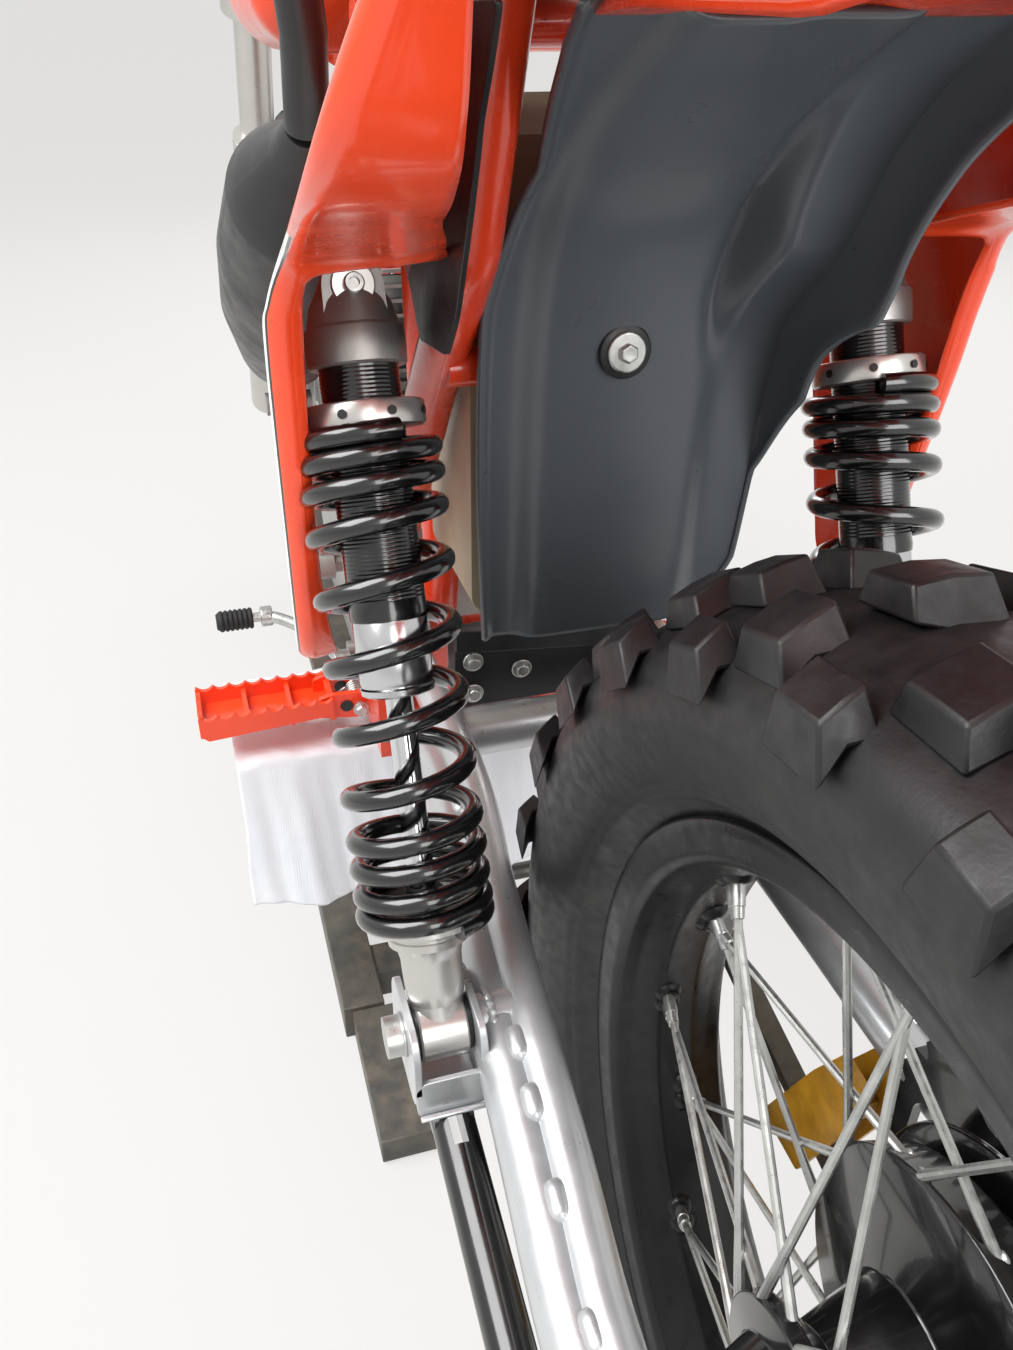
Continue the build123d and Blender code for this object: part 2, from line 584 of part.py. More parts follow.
# Twin shocks: casting with an eye at each end, rod, body and preload ring; spring round them
for side, word in ((1, "left"), (-1, "right")):
    low = Vector(SHOCK_X, side * SHOCK_Y, SHOCK_Z)
    high = low + SHOCK_DIR * SHOCK_LENGTH
    with BuildPart() as shock:
        for start, end, diameter in ((0, 30, 30), (28, 62, 38), (62, SPRING_BOTTOM - 6, 70),
                                     (70, SHOCK_LENGTH - 165, SHOCK_ROD_D),
                                     (SHOCK_LENGTH - 180, SHOCK_LENGTH - 60, SHOCK_BODY_D),
                                     (SPRING_TOP, SPRING_TOP + 12, 66),
                                     (SHOCK_LENGTH - 62, SHOCK_LENGTH - 11, 48)):
            bar(low + SHOCK_DIR * start, low + SHOCK_DIR * end, diameter)
        for eye in (low, high):
            bar(eye - LEFT * 15.7, eye + LEFT * 15.7, 34)
            bar(eye - LEFT * 20, eye + LEFT * 20, EYE_BOLT_D + 0.4, mode=Mode.SUBTRACT)
    keep("shock_" + word, shock)
    with BuildPart() as lower_bolt:
        bar(low - LEFT * side * 32, low + LEFT * side * 30, EYE_BOLT_D)
        bar(low + LEFT * side * 20.2, low + LEFT * side * 30, 22)
    keep("shock_bolt_" + word, lower_bolt)
    with BuildPart() as spring:
        mean_r = (SPRING_D - SPRING_WIRE) / 2
        rise = SPRING_TOP - SPRING_BOTTOM - SPRING_WIRE + 5
        base = low + SHOCK_DIR * (SPRING_BOTTOM - 6 + SPRING_WIRE / 2 + 0.3)
        with BuildLine() as coil:
            Helix(rise / SPRING_TURNS, rise, mean_r, center=base, direction=SHOCK_DIR)
        with BuildSketch(Plane(origin=coil.line @ 0, z_dir=coil.line % 0)) as section:
            Circle(SPRING_WIRE / 2)
        sweep(section.sketch, path=coil.line, is_frenet=True)
    keep("spring_" + word, spring)

# Engine: cases, finned cylinder and head, carburettor, air box
with BuildPart() as engine_cases:
    side_plate([(612, -10), (640, -35), (890, -35), (912, 10), (900, 80), (868, 112), (740, 112),
                (690, 84), (618, 84)], -70, 70, 10)
    with BuildSketch(Plane.XZ.offset(-70)) as cover:
        with Locations((735, 18)):
            Circle(62)
        with Locations((840, 14)):
            Circle(48)
        make_hull()
    extrude(cover.sketch, amount=-COVER_T)
    bar((838, -70, 18), (838, -104, 18), 120)
    bar((DRIVE_X, -60, DRIVE_Z), (DRIVE_X, -92, DRIVE_Z), 22)
    bar((DRIVE_X, -78, DRIVE_Z), (DRIVE_X, -84, DRIVE_Z), 2 * DRIVE_R - 11)
    for x in (700, 880):
        block((x - 10, -30, CRADLE_Z + 10.3), (x + 10, 30, -30))
    bar((660, 66, -8), (660, 116, -8), 14)
    bar((690, 66, 62), (690, 118, 62), 16)
keep("engine_cases", engine_cases)

TILT = Vector(math.sin(math.radians(12)), 0, math.cos(math.radians(12)))
TILT_OUT = Vector(TILT.Z, 0, -TILT.X)
BORE_FOOT = Vector(806, 0, 112)
with BuildPart() as cylinder:
    bar(BORE_FOOT + TILT * 12, BORE_FOOT + TILT * 118, 96)
    for index in range(9):
        deck = Plane(origin=BORE_FOOT + TILT * (24 + 11 * index), x_dir=TILT_OUT, z_dir=TILT)
        with BuildSketch(deck) as fin:
            RectangleRounded(136, 140, 26)
        extrude(fin.sketch, amount=3)
    port = BORE_FOOT + TILT * 72
    bar(port, port + TILT_OUT * 70, 52)
    bar(port - TILT * 14, port - TILT * 14 - TILT_OUT * 84, 50)
    block((700, -80, 90), (900, 80, 112), mode=Mode.SUBTRACT)
    bar(BORE_FOOT - TILT * 20, BORE_FOOT + TILT * 14, 98)
    block((700, -90, 60), (920, 90, 112.2), mode=Mode.SUBTRACT)
keep("cylinder", cylinder)

HEAD_FOOT = BORE_FOOT + TILT * 118.2
with BuildPart() as cylinder_head:
    bar(HEAD_FOOT, HEAD_FOOT + TILT * 40, 92)
    for index, length in enumerate((136, 134, 130, 122)):
        deck = Plane(origin=HEAD_FOOT + TILT * (6 + 12 * index), x_dir=TILT_OUT, z_dir=TILT)
        with BuildSketch(deck) as fin:
            RectangleRounded(length, length, 26)
        extrude(fin.sketch, amount=3)
    bar(HEAD_FOOT + TILT * 40, HEAD_FOOT + TILT * 60, 22)
    bar(HEAD_FOOT + TILT * 58, HEAD_FOOT + TILT * 92, 16)
keep("cylinder_head", cylinder_head)

with BuildPart() as air_box:
    cross_loft([(389, 74, 165, 430, 14), (490, 74, 165, 440, 14), (526, 44, 172, 420, 14),
                (605, 38, 180, 300, 14)])
keep("air_box", air_box)

with BuildPart() as carburettor:
    mouth = BORE_FOOT + TILT * 58 - TILT_OUT * 84.3
    rear = Vector(600, 0, 228)
    bar(mouth, mouth + (rear - mouth) * 0.22, 56)
    bar(mouth + (rear - mouth) * 0.2, mouth + (rear - mouth) * 0.62, 64)
    bar(mouth + (rear - mouth) * 0.6, rear, 60)
    middle = mouth + (rear - mouth) * 0.4
    bar(middle, middle + Vector(0, 0, 78), 46)
    bar(middle - Vector(0, 0, 62), middle, 50)
    for other in (cylinder, air_box):
        add(other.part, mode=Mode.SUBTRACT)
keep("carburettor", carburettor)

# Exhaust: header, chamber and silencer on the left
CHAMBER = ((860, 128, 205, 21), (770, 132, 235, 40), (680, 134, 290, 52), (600, 134, 340, 54),
           (535, 136, 385, 46), (496, 138, 412, 20), (478, 139, 426, 12))
with BuildPart() as exhaust_chamber:
    start = port + TILT_OUT * 70.3
    pipe([start, start + TILT_OUT * 30, (912, 112, 200), (860, 128, 205)], 26, 38)
    cigar(CHAMBER)
    pipe([(478, 139, 426), (455, 140, 470), (420, 150, 538)], 20, 24)
keep("exhaust_chamber", exhaust_chamber)

with BuildPart() as silencer:
    bar((419, 150.3, 540), (395, 151, 544), 34)
    bar((395, 151, 544), (-20, 156, 600), 66)
    bar((-20, 156, 600), (-60, 156.5, 605.5), 30)
    add(exhaust_chamber.part, mode=Mode.SUBTRACT)
keep("silencer", silencer)

# Bodywork: tank, seat, side panels, mudguards
with BuildPart() as fuel_tank:
    cross_loft([(642, 74, 500, 606, 30), (700, 142, 448, 640, 40), (860, 146, 440, 672, 50),
                (940, 96, 470, 640, 40), (985, 50, 520, 610, 30)])
    side_plate([(SPINE_END.X, 400), (1000, 400), (SPINE_START.X, SPINE_START.Z + TUNNEL_TOP),
                (SPINE_END.X, SPINE_END.Z + TUNNEL_TOP)], -32, 32, mode=Mode.SUBTRACT)
    bar((850, 0, 664), (850, 0, 690), 70)
keep("fuel_tank", fuel_tank)

with BuildPart() as seat:
    cross_loft([(40, 80, 552, 600, 14), (225, 112, RAIL_Z + 11.3, 604, 24),
                (450, 108, RAIL_Z + 11.3, 594, 24), (641, 74, RAIL_Z + 11.3, 604, 24)])
keep("seat", seat)

# Side panel's outer face, seen along its lean: (distance out, height above the axle at x = 200)
PANEL_FACE = ((185, -200), (185, 416), (172, 455), (145, 510), (128, 546), (109, 583), (108, 700))
PANEL_OUTLINE = ((352, 165), (412, 165), (440, 300), (470, 345), (470, 375), (425, 440), (425, 500),
                 (120, 500), (160, 440), (300, 400), (322, 300))
PANEL_RETURN = ((120, 494), (158, 438), (298, 398), (304, 404), (164, 444), (127, 500))
SQUARE = math.hypot(1, PANEL_LEAN)
for side, word in ((1, "left"), (-1, "right")):
    along = Plane(origin=(200, 0, 0), x_dir=LEFT, z_dir=(1, 0, -PANEL_LEAN))
    face = [(side * y, high / SQUARE) for y, high in PANEL_FACE]
    inside = [(y - side * PANEL_T, high) for y, high in reversed(face)]
    with BuildPart() as side_panel:
        low, high = sorted((side * 90, side * 190))
        side_plate(PANEL_OUTLINE, low, high, 12)
        with BuildSketch(along) as skin:
            with BuildLine():
                Polyline(*face, *inside, close=True)
            make_face()
        extrude(skin.sketch, amount=500, both=True, mode=Mode.INTERSECT)
        with BuildPart(mode=Mode.PRIVATE) as edge:
            low, high = sorted((side * 120, side * 190))
            side_plate(PANEL_RETURN, low, high)
            with BuildSketch(along) as behind:
                with BuildLine():
                    Polyline(*[(y - side * PANEL_T / 2, high) for y, high in face],
                             (0, face[-1][1]), (0, face[0][1]), close=True)
                make_face()
            extrude(behind.sketch, amount=500, both=True, mode=Mode.INTERSECT)
        add(edge.part)
        bar((320, side * 90, 500), (320, side * 128.5, 492), 10)
        add(frame_rear.part, mode=Mode.SUBTRACT)
    keep("side_panel_" + word, side_panel)

with BuildPart() as inner_mudguard:
    ribbon([(362, 168, 78), (358, 338, 75), (330, 405, 74), (285, 445, 74), (225, 482, 74)], 5)
    for side in (1, -1):
        low, high = sorted((side * 71, side * 75))
        side_plate([(364, 230), (300, 326), (232, 440), (196, 474), (225, 484), (285, 448),
                    (332, 408), (362, 345)], low, high)
keep("inner_mudguard", inner_mudguard)

with BuildPart() as rear_mudguard:
    ribbon([(216, 486, 78), (100, 500, 92), (-60, 526, 100), (-200, 548, 96), (-335, 556, 78)], 4)
    for side in (1, -1):
        bar((-58, side * 26, 525), (-58, side * 26, 540), 14)
    add(frame_rear.part, mode=Mode.SUBTRACT)
keep("rear_mudguard", rear_mudguard)

with BuildPart() as tail_lamp:
    block((-300, -48, 554), (-250, 48, 596))
    add(rear_mudguard.part, mode=Mode.SUBTRACT)
keep("tail_lamp", tail_lamp)

# Chain and its guide
with BuildPart() as chain:
    for edge, mode in ((CHAIN_H / 2, Mode.ADD), (-CHAIN_H / 2, Mode.SUBTRACT)):
        with BuildSketch(Plane.XZ.offset(-CHAIN_Y - CHAIN_W / 2)) as loop:
            Circle(CHAIN_R + edge)
            with Locations((DRIVE_X, DRIVE_Z)):
                Circle(DRIVE_R + edge)
            make_hull()
        extrude(loop.sketch, amount=CHAIN_W, mode=mode)
keep("chain", chain)

GUIDE_OUTLINE = ((205, -121), (167, -35), (146, 4), (124, 2), (129, -40), (161, -122))
with BuildPart() as chain_guide:
    for low in (CHAIN_Y - 13, CHAIN_Y + 10):
        side_plate(GUIDE_OUTLINE, low, low + 3, 4)
    block((136, CHAIN_Y - 13, -44), (162, CHAIN_Y + 13, -32))
    add(PIECES["swingarm_right"].part, mode=Mode.SUBTRACT)
    add(chain.part, mode=Mode.SUBTRACT)
keep("chain_guide", chain_guide)

# Footpegs, levers and pedals
for side, word in ((1, "left"), (-1, "right")):
    with BuildPart() as footpeg:
        low, high = sorted((side * 110.3, side * 250))
        block((592, low, -40), (644, high, -14))
        low, high = sorted((side * 134, side * 242))
        block((600, low, -50), (636, high, 0), mode=Mode.SUBTRACT)
    keep("footpeg_" + word, footpeg)

with BuildPart() as gear_lever:
    bar((660, 116.3, -8), (660, 134, -8), 22)
    bar((660, 126, -8), (762, 188, -20), 11)
    bar((762, 184, -20), (762, 224, -20), 20)
keep("gear_lever", gear_lever)

with BuildPart() as kick_lever:
    bar((690, 118.3, 62), (690, 136, 62), 26)
    bar((690, 128, 62), (700, 138, 200), 14)
    bar((700, 124, 204), (700, 160, 204), 18)
keep("kick_lever", kick_lever)

with BuildPart() as brake_pedal:
    bar((565, -110.3, -25), (565, -136, -25), 26)
    pipe([(565, -128, -25), (588, -131, -58), (662, -142, -58), (770, -165, -18)], 14, 12)
    block((752, -190, -26), (790, -146, -12))
keep("brake_pedal", brake_pedal)

# Side stand, folded back along the swingarm
STAND_BACK = Vector(-math.cos(math.radians(12.4)), 0, -math.sin(math.radians(12.4)))
with BuildPart() as side_stand:
    bar(HINGE, HINGE + STAND_BACK * STAND_LENGTH, STAND_D)
    bar(HINGE - LEFT * 11, HINGE + LEFT * 11, STAND_D)
    with BuildSketch(Plane(origin=HINGE + LEFT * 4, x_dir=STAND_BACK, z_dir=LEFT * -1)) as slot:
        with Locations((4, 0)):
            Rectangle(40, 40)
    extrude(slot.sketch, amount=8, mode=Mode.SUBTRACT)
    bar(HINGE - LEFT * 11, HINGE + LEFT * 11, STAND_PIN_D)
    foot = HINGE + STAND_BACK * STAND_LENGTH
    with BuildSketch(Plane(origin=foot, z_dir=STAND_BACK)) as pad:
        RectangleRounded(54, 54, 12)
    extrude(pad.sketch, amount=6)
keep("side_stand", side_stand)

# Lift stand: floor frame, parallel links, deck, foot lever and damper, with a cloth on the deck
with BuildPart() as stand_base:
    for side in (1, -1):
        low, high = sorted((side * (BASE_HALF - BASE_T), side * BASE_HALF))
        block((BASE_X[0], low, FLOOR_Z), (BASE_X[1], high, FLOOR_Z + BASE_T))
    for x in (BASE_X[0] + 40, BASE_X[1] - 80):
        block((x, -BASE_HALF + 10, FLOOR_Z + 4), (x + BASE_T, BASE_HALF - 10, FLOOR_Z + BASE_T - 4))
keep("stand_base", stand_base)

DECK_LOW = DECK_TOP - DECK_T
with BuildPart() as stand_links:
    for side in (1, -1):
        for x in (640, 860):
            y = side * 112
            bar((x + 40, y, FLOOR_Z + BASE_T + 12), (x, y, DECK_LOW - 14), 26)
            block((x + 24, y - 8, FLOOR_Z + BASE_T + 0.3), (x + 56, y + 8, FLOOR_Z + BASE_T + 26))
            block((x - 16, y - 8, DECK_LOW - 26), (x + 16, y + 8, DECK_LOW - 0.3))
        bar((680, side * 112, FLOOR_Z + BASE_T + 20), (860, side * 112, DECK_LOW - 24), 18)
    bar((680, -112, FLOOR_Z + BASE_T + 20), (680, 112, FLOOR_Z + BASE_T + 20), 18)
    bar((860, -112, DECK_LOW - 20), (860, 112, DECK_LOW - 20), 18)
    bar((640, -112, DECK_LOW - 20), (640, 112, DECK_LOW - 20), 18)
keep("stand_links", stand_links)

with BuildPart() as stand_deck:
    block((DECK_X[0], -DECK_HALF, DECK_LOW), (DECK_X[1], DECK_HALF, DECK_TOP))
keep("stand_deck", stand_deck)

with BuildPart() as stand_lever:
    side_plate([(BASE_X[0] - 0.3, FLOOR_Z + 8), (BASE_X[0] - 0.3, FLOOR_Z + 36),
                (415, FLOOR_Z + 30), (415, FLOOR_Z + 2)], 92, 152)
keep("stand_lever", stand_lever)

with BuildPart() as stand_damper:
    bar((690, 70, FLOOR_Z + BASE_T + 34), (620, 70, DECK_LOW - 60), 42)
    bar((620, 70, DECK_LOW - 60), (612, 70, DECK_LOW - 22), 14)
keep("stand_damper", stand_damper)

with BuildPart() as stand_cloth:
    top = DECK_TOP + RUN_GAP + CLOTH_T
    left = DECK_HALF + 6
    block((590, -120, DECK_TOP + RUN_GAP), (900, left, top))
    block((610, left - CLOTH_T, DECK_TOP - 120), (860, left, top))
    block((590, -60, DECK_TOP - 110), (590 + CLOTH_T, 100, top))
    block((590, 100, DECK_TOP - CLOTH_DROP), (590 + CLOTH_T, left, top))
keep("stand_cloth", stand_cloth)

for label, piece in PIECES.items():
    placed = piece.part.moved(Location((-MID_X, 0, -FLOOR_Z)))
    placed.label = label
    export_step(placed, f"parts/{label}.step")
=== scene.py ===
"""Looks of a twin-shock enduro motorcycle on its lift stand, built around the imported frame.

Sizes are millimetres from the rear axle: X forward, Y to the motorcycle's left, Z up. A Bench
turns them into the frame's metres when it makes a piece.
"""

from __future__ import annotations

import json
import logging
import math
from dataclasses import dataclass, field
from enum import Enum
from functools import lru_cache
from typing import Optional, Sequence

import bmesh
import bpy
import numpy as np
from mathutils import Matrix, Vector

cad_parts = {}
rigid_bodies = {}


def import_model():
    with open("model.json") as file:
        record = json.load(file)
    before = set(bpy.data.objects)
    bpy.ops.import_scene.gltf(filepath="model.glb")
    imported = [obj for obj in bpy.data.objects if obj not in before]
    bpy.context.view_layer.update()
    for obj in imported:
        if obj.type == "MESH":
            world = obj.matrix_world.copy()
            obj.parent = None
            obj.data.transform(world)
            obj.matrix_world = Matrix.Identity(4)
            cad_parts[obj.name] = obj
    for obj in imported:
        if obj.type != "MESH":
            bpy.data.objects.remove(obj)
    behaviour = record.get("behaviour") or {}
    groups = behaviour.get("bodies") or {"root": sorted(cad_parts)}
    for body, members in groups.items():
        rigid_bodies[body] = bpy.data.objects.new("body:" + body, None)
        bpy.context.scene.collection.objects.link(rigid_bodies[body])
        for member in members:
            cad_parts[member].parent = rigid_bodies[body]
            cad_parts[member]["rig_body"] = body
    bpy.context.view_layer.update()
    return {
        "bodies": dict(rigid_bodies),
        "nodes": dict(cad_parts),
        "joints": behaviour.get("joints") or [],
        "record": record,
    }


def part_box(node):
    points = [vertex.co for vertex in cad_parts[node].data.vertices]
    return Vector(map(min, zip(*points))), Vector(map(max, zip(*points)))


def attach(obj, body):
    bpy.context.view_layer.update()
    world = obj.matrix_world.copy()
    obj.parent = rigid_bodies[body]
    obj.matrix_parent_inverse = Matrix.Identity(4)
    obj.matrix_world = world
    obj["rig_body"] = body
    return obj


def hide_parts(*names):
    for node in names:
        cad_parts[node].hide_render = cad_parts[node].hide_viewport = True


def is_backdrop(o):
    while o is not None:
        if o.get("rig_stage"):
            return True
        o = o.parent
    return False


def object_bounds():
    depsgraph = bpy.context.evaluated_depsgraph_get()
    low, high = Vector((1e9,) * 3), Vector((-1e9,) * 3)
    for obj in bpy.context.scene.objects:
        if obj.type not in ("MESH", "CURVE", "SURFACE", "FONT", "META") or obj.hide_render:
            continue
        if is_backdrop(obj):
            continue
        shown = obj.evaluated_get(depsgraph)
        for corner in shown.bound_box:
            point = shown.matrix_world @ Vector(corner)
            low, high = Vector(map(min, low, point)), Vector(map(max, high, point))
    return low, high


LOG = logging.getLogger("motorcycle")
MM = 0.001
Array = np.ndarray
Point = Sequence[float]

# Centres and bead seat radii of the two wheels, as in the frame
REAR_AXLE, REAR_SEAT = (0, 0, 0), 229.5
FRONT_AXLE, FRONT_SEAT = (1450, 0, 5), 267.5
# Points nearer than this are merged, and edges sharper than this many degrees are rounded
MERGE_MM = 0.01
ROUND_FROM = 38.0
# Noise values between which colour patches, a dust film and roughness fade in
PATCH_NOISE, FILM_NOISE, ROUGH_NOISE = (0.35, 0.68), (0.5, 0.72), (0.3, 0.7)
# Patches of a dust film to a metre
FILM_SCALE = 22.0
# A wave texture draws about six bands where noise of the same scale has one patch
BAND_SHARE = 0.16
COAT_ROUGHNESS = 0.06


class Relief(Enum):
    """How a surface was made, which sets the shape of its bump."""

    SMOOTH = "smooth"
    PEEL = "sprayed paint"
    GRAIN = "moulded grain"
    BRUSHED = "drawn or turned"
    CAST = "sand cast"
    WEAVE = "plain weave"
    LEATHER = "embossed vinyl"


def linear(colour: str) -> tuple[float, float, float, float]:
    """Turn an sRGB hex colour into linear red, green, blue and alpha.

    Args:
        colour: Six hex digits.

    Returns:
        The linear colour with an alpha of 1.
    """
    values = [int(colour[i : i + 2], 16) / 255 for i in (0, 2, 4)]
    parts = [v / 12.92 if v <= 0.04045 else ((v + 0.055) / 1.055) ** 2.4 for v in values]
    return (parts[0], parts[1], parts[2], 1.0)


def add_node(tree: bpy.types.NodeTree, kind: str, settings: Optional[dict] = None,
             links: Optional[dict] = None) -> bpy.types.Node:
    """Add one shader node.

    Args:
        tree: Tree that gets the node.
        kind: Blender's type name, without the ShaderNode prefix.
        settings: Values by input name or index, or by attribute name.
        links: For an input name or index, the (node, output name or index) that feeds it.

    Returns:
        The new node.
    """
    node = tree.nodes.new("ShaderNode" + kind)
    attributes = {k: v for k, v in (settings or {}).items() if isinstance(k, str) and hasattr(node, k)}
    for key, value in attributes.items():
        setattr(node, key, value)
    for key, value in (settings or {}).items():
        if key not in attributes:
            node.inputs[key].default_value = value
    for key, (source, output) in (links or {}).items():
        tree.links.new(source.outputs[output], node.inputs[key])
    return node


def node_tree(owner: bpy.types.Material | bpy.types.World) -> bpy.types.NodeTree:
    """Give a material or a world an empty node tree.

    Args:
        owner: The material or world.

    Returns:
        The tree.
    """
    owner.use_nodes = True
    owner.node_tree.nodes.clear()
    return owner.node_tree


def new_object(name: str, data: bpy.types.ID) -> bpy.types.Object:
    """Make an object and link it to the scene.

    Args:
        name: Its name.
        data: Its mesh, camera or lamp.

    Returns:
        The object.
    """
    made = bpy.data.objects.new(name, data)
    bpy.context.scene.collection.objects.link(made)
    return made


def read(items: bpy.types.bpy_prop_collection, what: str) -> Array:
    """Read a value of three parts from every vertex or face.

    Args:
        items: A mesh's vertices or polygons.
        what: The value's name, such as co, normal or center.

    Returns:
        (N, 3) values.
    """
    flat = np.empty(len(items) * 3, np.float32)
    items.foreach_get(what, flat)
    return flat.reshape(-1, 3)


@dataclass(frozen=True)
class Finish:
    """A real material and the way its surface was made.

    The colour drifts towards a second one in patches of mottle_mm, roughness drifts with it, and
    the relief is a bump of relief_mm across and depth_mm high.
    """

    name: str
    slot: str
    colour: str
    second: str
    rough: float
    spread: float = 0.08
    metal: float = 0.0
    ior: float = 1.5
    coat: float = 0.0
    mottle: float = 0.35
    mottle_mm: float = 60.0
    relief: Relief = Relief.SMOOTH
    relief_mm: float = 1.0
    depth_mm: float = 0.05
    dust: float = 0.0
    dust_colour: str = "8C7B66"
    sheen: float = 0.0
    transmission: float = 0.0

    def height(self, tree: bpy.types.NodeTree, place: bpy.types.Node) -> Optional[tuple]:
        """Add the nodes of this surface's relief.

        Args:
            tree: The material's tree.
            place: Texture Coordinate node.

        Returns:
            (node, output) of a height from 0 to 1, or None for a smooth surface.
        """
        scale = 1.0 / (self.relief_mm * MM)
        where = {"Vector": (place, "Object")}
        if self.relief is Relief.SMOOTH:
            return None
        if self.relief is Relief.WEAVE:
            warp, weft = (add_node(tree, "TexWave", {"Scale": scale * BAND_SHARE, "bands_direction": way,
                                                     "Distortion": 0.4}, where) for way in "XY")
            both = add_node(tree, "Math", {"operation": "MAXIMUM"}, {0: (warp, "Fac"), 1: (weft, "Fac")})
            return both, "Value"
        if self.relief is Relief.LEATHER:
            cells = add_node(tree, "TexVoronoi", {"Scale": scale, "feature": "SMOOTH_F1",
                                                  "Smoothness": 0.4}, where)
            return cells, "Distance"
        if self.relief is Relief.BRUSHED:
            stretch = add_node(tree, "Mapping", {"Scale": (0.04, 1.0, 1.0)}, where)
            lines = add_node(tree, "TexNoise", {"Scale": scale, "Detail": 3.0},
                             {"Vector": (stretch, "Vector")})
            return lines, "Fac"
        detail = {Relief.PEEL: 0.0, Relief.GRAIN: 2.0, Relief.CAST: 5.0}[self.relief]
        cloud = add_node(tree, "TexNoise", {"Scale": scale, "Detail": detail}, where)
        return cloud, "Fac"


@lru_cache(maxsize=None)
def material_of(finish: Finish) -> bpy.types.Material:
    """Build a finish's node material, once.

    Args:
        finish: The finish.

    Returns:
        Its material.
    """
    material = bpy.data.materials.new(finish.name)
    tree = node_tree(material)
    place = add_node(tree, "TexCoord")
    where = {"Vector": (place, "Object")}
    patches = add_node(tree, "TexNoise", {"Scale": 1.0 / (finish.mottle_mm * MM), "Detail": 4.0,
                                          "Roughness": 0.6}, where)
    low, high = PATCH_NOISE
    share = add_node(tree, "MapRange", {"From Min": low, "From Max": high, "To Min": 0.0,
                                        "To Max": finish.mottle}, {"Value": (patches, "Fac")})
    colour = add_node(tree, "Mix", {"data_type": "RGBA", 6: linear(finish.colour),
                                    7: linear(finish.second)}, {0: (share, "Result")})
    if finish.dust > 0:
        film = add_node(tree, "TexNoise", {"Scale": FILM_SCALE, "Detail": 9.0, "Roughness": 0.72}, where)
        low, high = FILM_NOISE
        cover = add_node(tree, "MapRange", {"From Min": low, "From Max": high, "To Min": 0.0,
                                            "To Max": finish.dust}, {"Value": (film, "Fac")})
        colour = add_node(tree, "Mix", {"data_type": "RGBA", 7: linear(finish.dust_colour)},
                          {0: (cover, "Result"), 6: (colour, 2)})
    fine = add_node(tree, "TexNoise", {"Scale": 3.0 / (finish.mottle_mm * MM), "Detail": 6.0}, where)
    low, high = ROUGH_NOISE
    rough = add_node(tree, "MapRange", {"From Min": low, "From Max": high,
                                        "To Min": max(finish.rough - finish.spread, 0.02),
                                        "To Max": finish.rough + finish.spread},
                     {"Value": (fine, "Fac")})
    feeds = {"Base Color": (colour, 2), "Roughness": (rough, "Result")}
    relief = finish.height(tree, place)
    if relief is not None:
        bump = add_node(tree, "Bump", {"Strength": 1.0, "Distance": finish.depth_mm * MM},
                        {"Height": relief})
        feeds["Normal"] = (bump, "Normal")
    shader = add_node(tree, "BsdfPrincipled", {
        "Metallic": finish.metal, "IOR": finish.ior, "Coat Weight": finish.coat,
        "Coat Roughness": COAT_ROUGHNESS, "Sheen Weight": finish.sheen,
        "Transmission Weight": finish.transmission}, feeds)
    add_node(tree, "OutputMaterial", {}, {"Surface": (shader, "BSDF")})
    return material


# Gloss enamel on steel tube: orange peel of 2 mm and a clear highlight
FRAME_ORANGE = Finish("frame_enamel", "orange_paint", "E2401C", "CC3616", 0.28, coat=0.5,
                      relief=Relief.PEEL, relief_mm=2.2, depth_mm=0.02)
PEG_ORANGE = Finish("peg_enamel", "orange_paint", "EE4416", "DB3C12", 0.34, coat=0.4,
                    relief=Relief.PEEL, relief_mm=2.2, depth_mm=0.02)
# Injection moulded polypropylene, gloss: soft highlight, faint flow marks
PANEL_ORANGE = Finish("moulded_orange", "orange_plastic", "EE4A22", "DF401C", 0.24, coat=0.35,
                      mottle_mm=90, relief=Relief.PEEL, relief_mm=3.0, depth_mm=0.02)
PANEL_WHITE = Finish("moulded_white", "orange_plastic", "ECECEA", "E0E0DC", 0.3, coat=0.3,
                     mottle_mm=80, relief=Relief.PEEL, relief_mm=3.0, depth_mm=0.02)
# Vinyl film on that moulding: flat black with a soft highlight
STRIPE_BLACK = Finish("stripe_black", "orange_plastic", "17181A", "1F2022", 0.3, coat=0.3)
# Rotation moulded polyethylene, satin, with fine scuffs
GUARD_GREY = Finish("moulded_grey", "grey_plastic", "50565B", "474C51", 0.3, 0.03, mottle=0.3,
                    mottle_mm=120, relief=Relief.GRAIN, relief_mm=0.9, depth_mm=0.05)
# Injection moulded polypropylene with a fine grain: a broad, dull highlight
# The same finish also paints the shade inside the damper collar's and the footpeg arms' holes
TRIM_BLACK = Finish("moulded_black", "black_paint", "1B1B1D", "242426", 0.42, 0.1,
                    relief=Relief.GRAIN, relief_mm=0.9, depth_mm=0.04)
# Moulded polyethylene left in its own colour: matt and a little cloudy
AIRBOX_TAN = Finish("moulded_tan", "tan_plastic", "B5AA8E", "A0967C", 0.45, mottle=0.6,
                    relief=Relief.GRAIN, relief_mm=1.2, depth_mm=0.05)
# Cast polyurethane: amber, cloudy, with dust rubbed in by the chain
GUIDE_AMBER = Finish("cast_urethane", "yellow_plastic", "C08A1E", "8E6412", 0.4, mottle=0.8,
                     mottle_mm=18, dust=0.35)
# Tread rubber: matt, scuffed and dusty
TREAD = Finish("tread_rubber", "tyre_rubber", "141517", "1F2022", 0.46, 0.1, mottle=0.7, mottle_mm=24,
               relief=Relief.CAST, relief_mm=2.0, depth_mm=0.1, dust=0.1, dust_colour="6F6A63")
# Moulded nitrile rubber with a fine grain: nearly no highlight
GRIP = Finish("grip_rubber", "grip_rubber", "1A1A1B", "242425", 0.7, relief=Relief.GRAIN,
              relief_mm=0.8, depth_mm=0.08)
